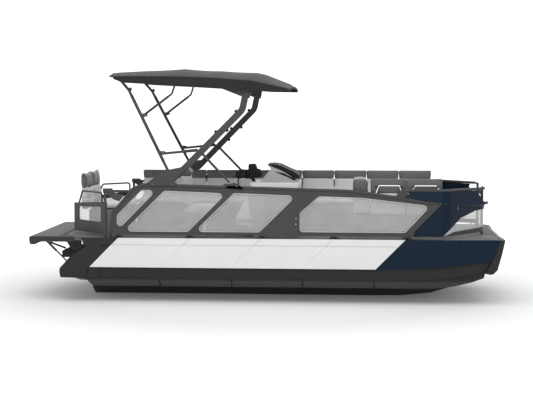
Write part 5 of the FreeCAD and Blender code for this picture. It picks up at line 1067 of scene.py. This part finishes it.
recess = [(-2.335, 0.842), (-2.215, 0.842), (-2.225, 0.828), (-2.300, 0.826), (-2.345, 0.806)]
grips = [(recess, *sorted((side * (SIDE_FACE - 0.004), side * (SIDE_FACE + 0.003))), "Y") for side in SIDES]
moulding("quarter_grips", grips, "black", "root", 0.001)

# Joints between the lengths of the lower hull, laid on its skin
JOINT_HEIGHTS = tuple(0.205 + 0.0115 * step for step in range(12))
JOINT_PROUD = 0.002
JOINT_SUNK = 0.006
JOINT_HALF = 0.007
joint_mesh = bmesh.new()
for side, node in ((-1, "pontoon_starboard"), (1, "pontoon_port")):
    shell = bmesh.new()
    shell.from_mesh(NODES[node].data)
    skin = BVHTree.FromBMesh(shell)
    shell.free()
    for x in (-1.499, -0.453, 0.568, 1.597):
        hits = [skin.ray_cast(Vector((x, side * 3.0, height)), Vector((0, -side, 0)))[0]
                for height in JOINT_HEIGHTS]
        hits = [hit for hit in hits if hit is not None]
        outer = [(hit.y + side * JOINT_PROUD, hit.z) for hit in hits]
        inner = [(hit.y - side * JOINT_SUNK, hit.z) for hit in reversed(hits)]
        prism(outer + inner, x - JOINT_HALF, x + JOINT_HALF, "X", joint_mesh)
add_mesh("hull_joints", joint_mesh, "hull", "root", HULL_SEAM, smooth=False)

# Courtesy lamps along the foot of the port lounge
low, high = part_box("port_lounge_base")
lamps = []
for step in range(1, PORT_BACK_COUNT):
    x = port_low.x + (port_high.x - port_low.x) * step / PORT_BACK_COUNT
    lamp = rounded([(x - 0.03, 1.000), (x + 0.03, 1.000), (x + 0.03, 1.014), (x - 0.03, 1.014)], 0.006)
    lamps.append((lamp, low.y - 0.004, low.y + 0.002, "Y"))
moulding("courtesy_lamps", lamps, "glazing", "root", 0.001, LAMP_LENS)


# Studio
CAMERA_PLACE = (1.3430, -19.1876, 2.8939)
CAMERA_TARGET = (-0.0324, 0.0, 1.4035)
CAMERA_LENS = 85.4


def aim(thing, target):
    """Turns a camera or lamp to look at the target."""
    thing.rotation_euler = (Vector(target) - thing.location).to_track_quat("-Z", "Y").to_euler()


camera_data = bpy.data.cameras.new("camera")
camera_data.lens = CAMERA_LENS
camera_data.sensor_width = 36.0
camera_data.clip_end = 200.0
camera = bpy.data.objects.new("camera", camera_data)
camera.location = CAMERA_PLACE
aim(camera, CAMERA_TARGET)
bpy.context.scene.collection.objects.link(camera)
bpy.context.scene.camera = camera


def area_light(name, place, target, size, power):
    """Rectangular lamp at a place, aimed at the target."""
    data = bpy.data.lights.new(name, "AREA")
    data.shape = "RECTANGLE"
    data.size, data.size_y = size
    data.energy = power
    lamp = bpy.data.objects.new(name, data)
    lamp.location = place
    aim(lamp, target)
    bpy.context.scene.collection.objects.link(lamp)


area_light("key", (1.0, -4.5, 9.5), (0, 0, 1), (14, 9), 460)
area_light("front", (-1.0, -12.0, 3.0), (0, 0, 1.2), (10, 4), 175)
area_light("back", (0.0, 8.0, 6.0), (0, 0, 1.5), (9, 4), 200)

# Floor lift, small near the boat and large far off: painted shade round the boat
NEAR_LIFT = 0.08
FAR_LIFT = 0.70
LIFT_START = 3.0
LIFT_END = 9.0


def floor_lift(tree):
    """Lift that grows with the distance from the boat: the floor near it gets less, a painted shade round
    the boat that deepens its own shadow.
    """
    coordinates = tree.nodes.new("ShaderNodeTexCoord")
    length = tree.nodes.new("ShaderNodeVectorMath")
    length.operation = "LENGTH"
    tree.links.new(coordinates.outputs["Object"], length.inputs[0])
    reach = tree.nodes.new("ShaderNodeMapRange")
    for socket, value in (("From Min", LIFT_START), ("From Max", LIFT_END), ("To Min", NEAR_LIFT),
                          ("To Max", FAR_LIFT)):
        reach.inputs[socket].default_value = value
    tree.links.new(length.outputs["Value"], reach.inputs["Value"])
    return reach.outputs["Result"]


def camera_lift(tree, base, lift):
    """Adds light to what the camera, gloss and clear sheets see directly, and none to the object."""
    path = tree.nodes.new("ShaderNodeLightPath")
    seen = math_of(tree, "MAXIMUM", path.outputs["Is Camera Ray"], path.outputs["Is Glossy Ray"])
    seen = math_of(tree, "MAXIMUM", seen, path.outputs["Is Transmission Ray"])
    glow = tree.nodes.new("ShaderNodeEmission")
    tree.links.new(math_of(tree, "MULTIPLY", seen, lift), glow.inputs["Strength"])
    total = tree.nodes.new("ShaderNodeAddShader")
    tree.links.new(base, total.inputs[0])
    tree.links.new(glow.outputs["Emission"], total.inputs[1])
    return total.outputs["Shader"]


floor_mesh = bmesh.new()
bmesh.ops.create_grid(floor_mesh, x_segments=1, y_segments=1, size=60)
floor_data = bpy.data.meshes.new("floor")
floor_mesh.to_mesh(floor_data)
floor_mesh.free()
floor = bpy.data.objects.new("floor", floor_data)
bpy.context.scene.collection.objects.link(floor)
floor_material, floor_tree, floor_shader = new_material("floor_white")
floor_shader.inputs["Base Color"].default_value = (0.9, 0.9, 0.9, 1)
floor_shader.inputs["Roughness"].default_value = 0.9
floor_shader.inputs["Specular IOR Level"].default_value = 0.1
floor_tree.links.new(camera_lift(floor_tree, floor_shader.outputs["BSDF"], floor_lift(floor_tree)),
                     floor_tree.nodes["Material Output"].inputs["Surface"])
floor_data.materials.append(floor_material)

world = bpy.data.worlds.new("studio")
world.use_nodes = True
bpy.context.scene.world = world
tree = world.node_tree
background = tree.nodes["Background"]
background.inputs["Color"].default_value = (1, 1, 1, 1)
background.inputs["Strength"].default_value = 0.55
tree.links.new(camera_lift(tree, background.outputs["Background"], FAR_LIFT),
               tree.nodes["World Output"].inputs["Surface"])

bpy.context.scene.view_settings.view_transform = "Standard"
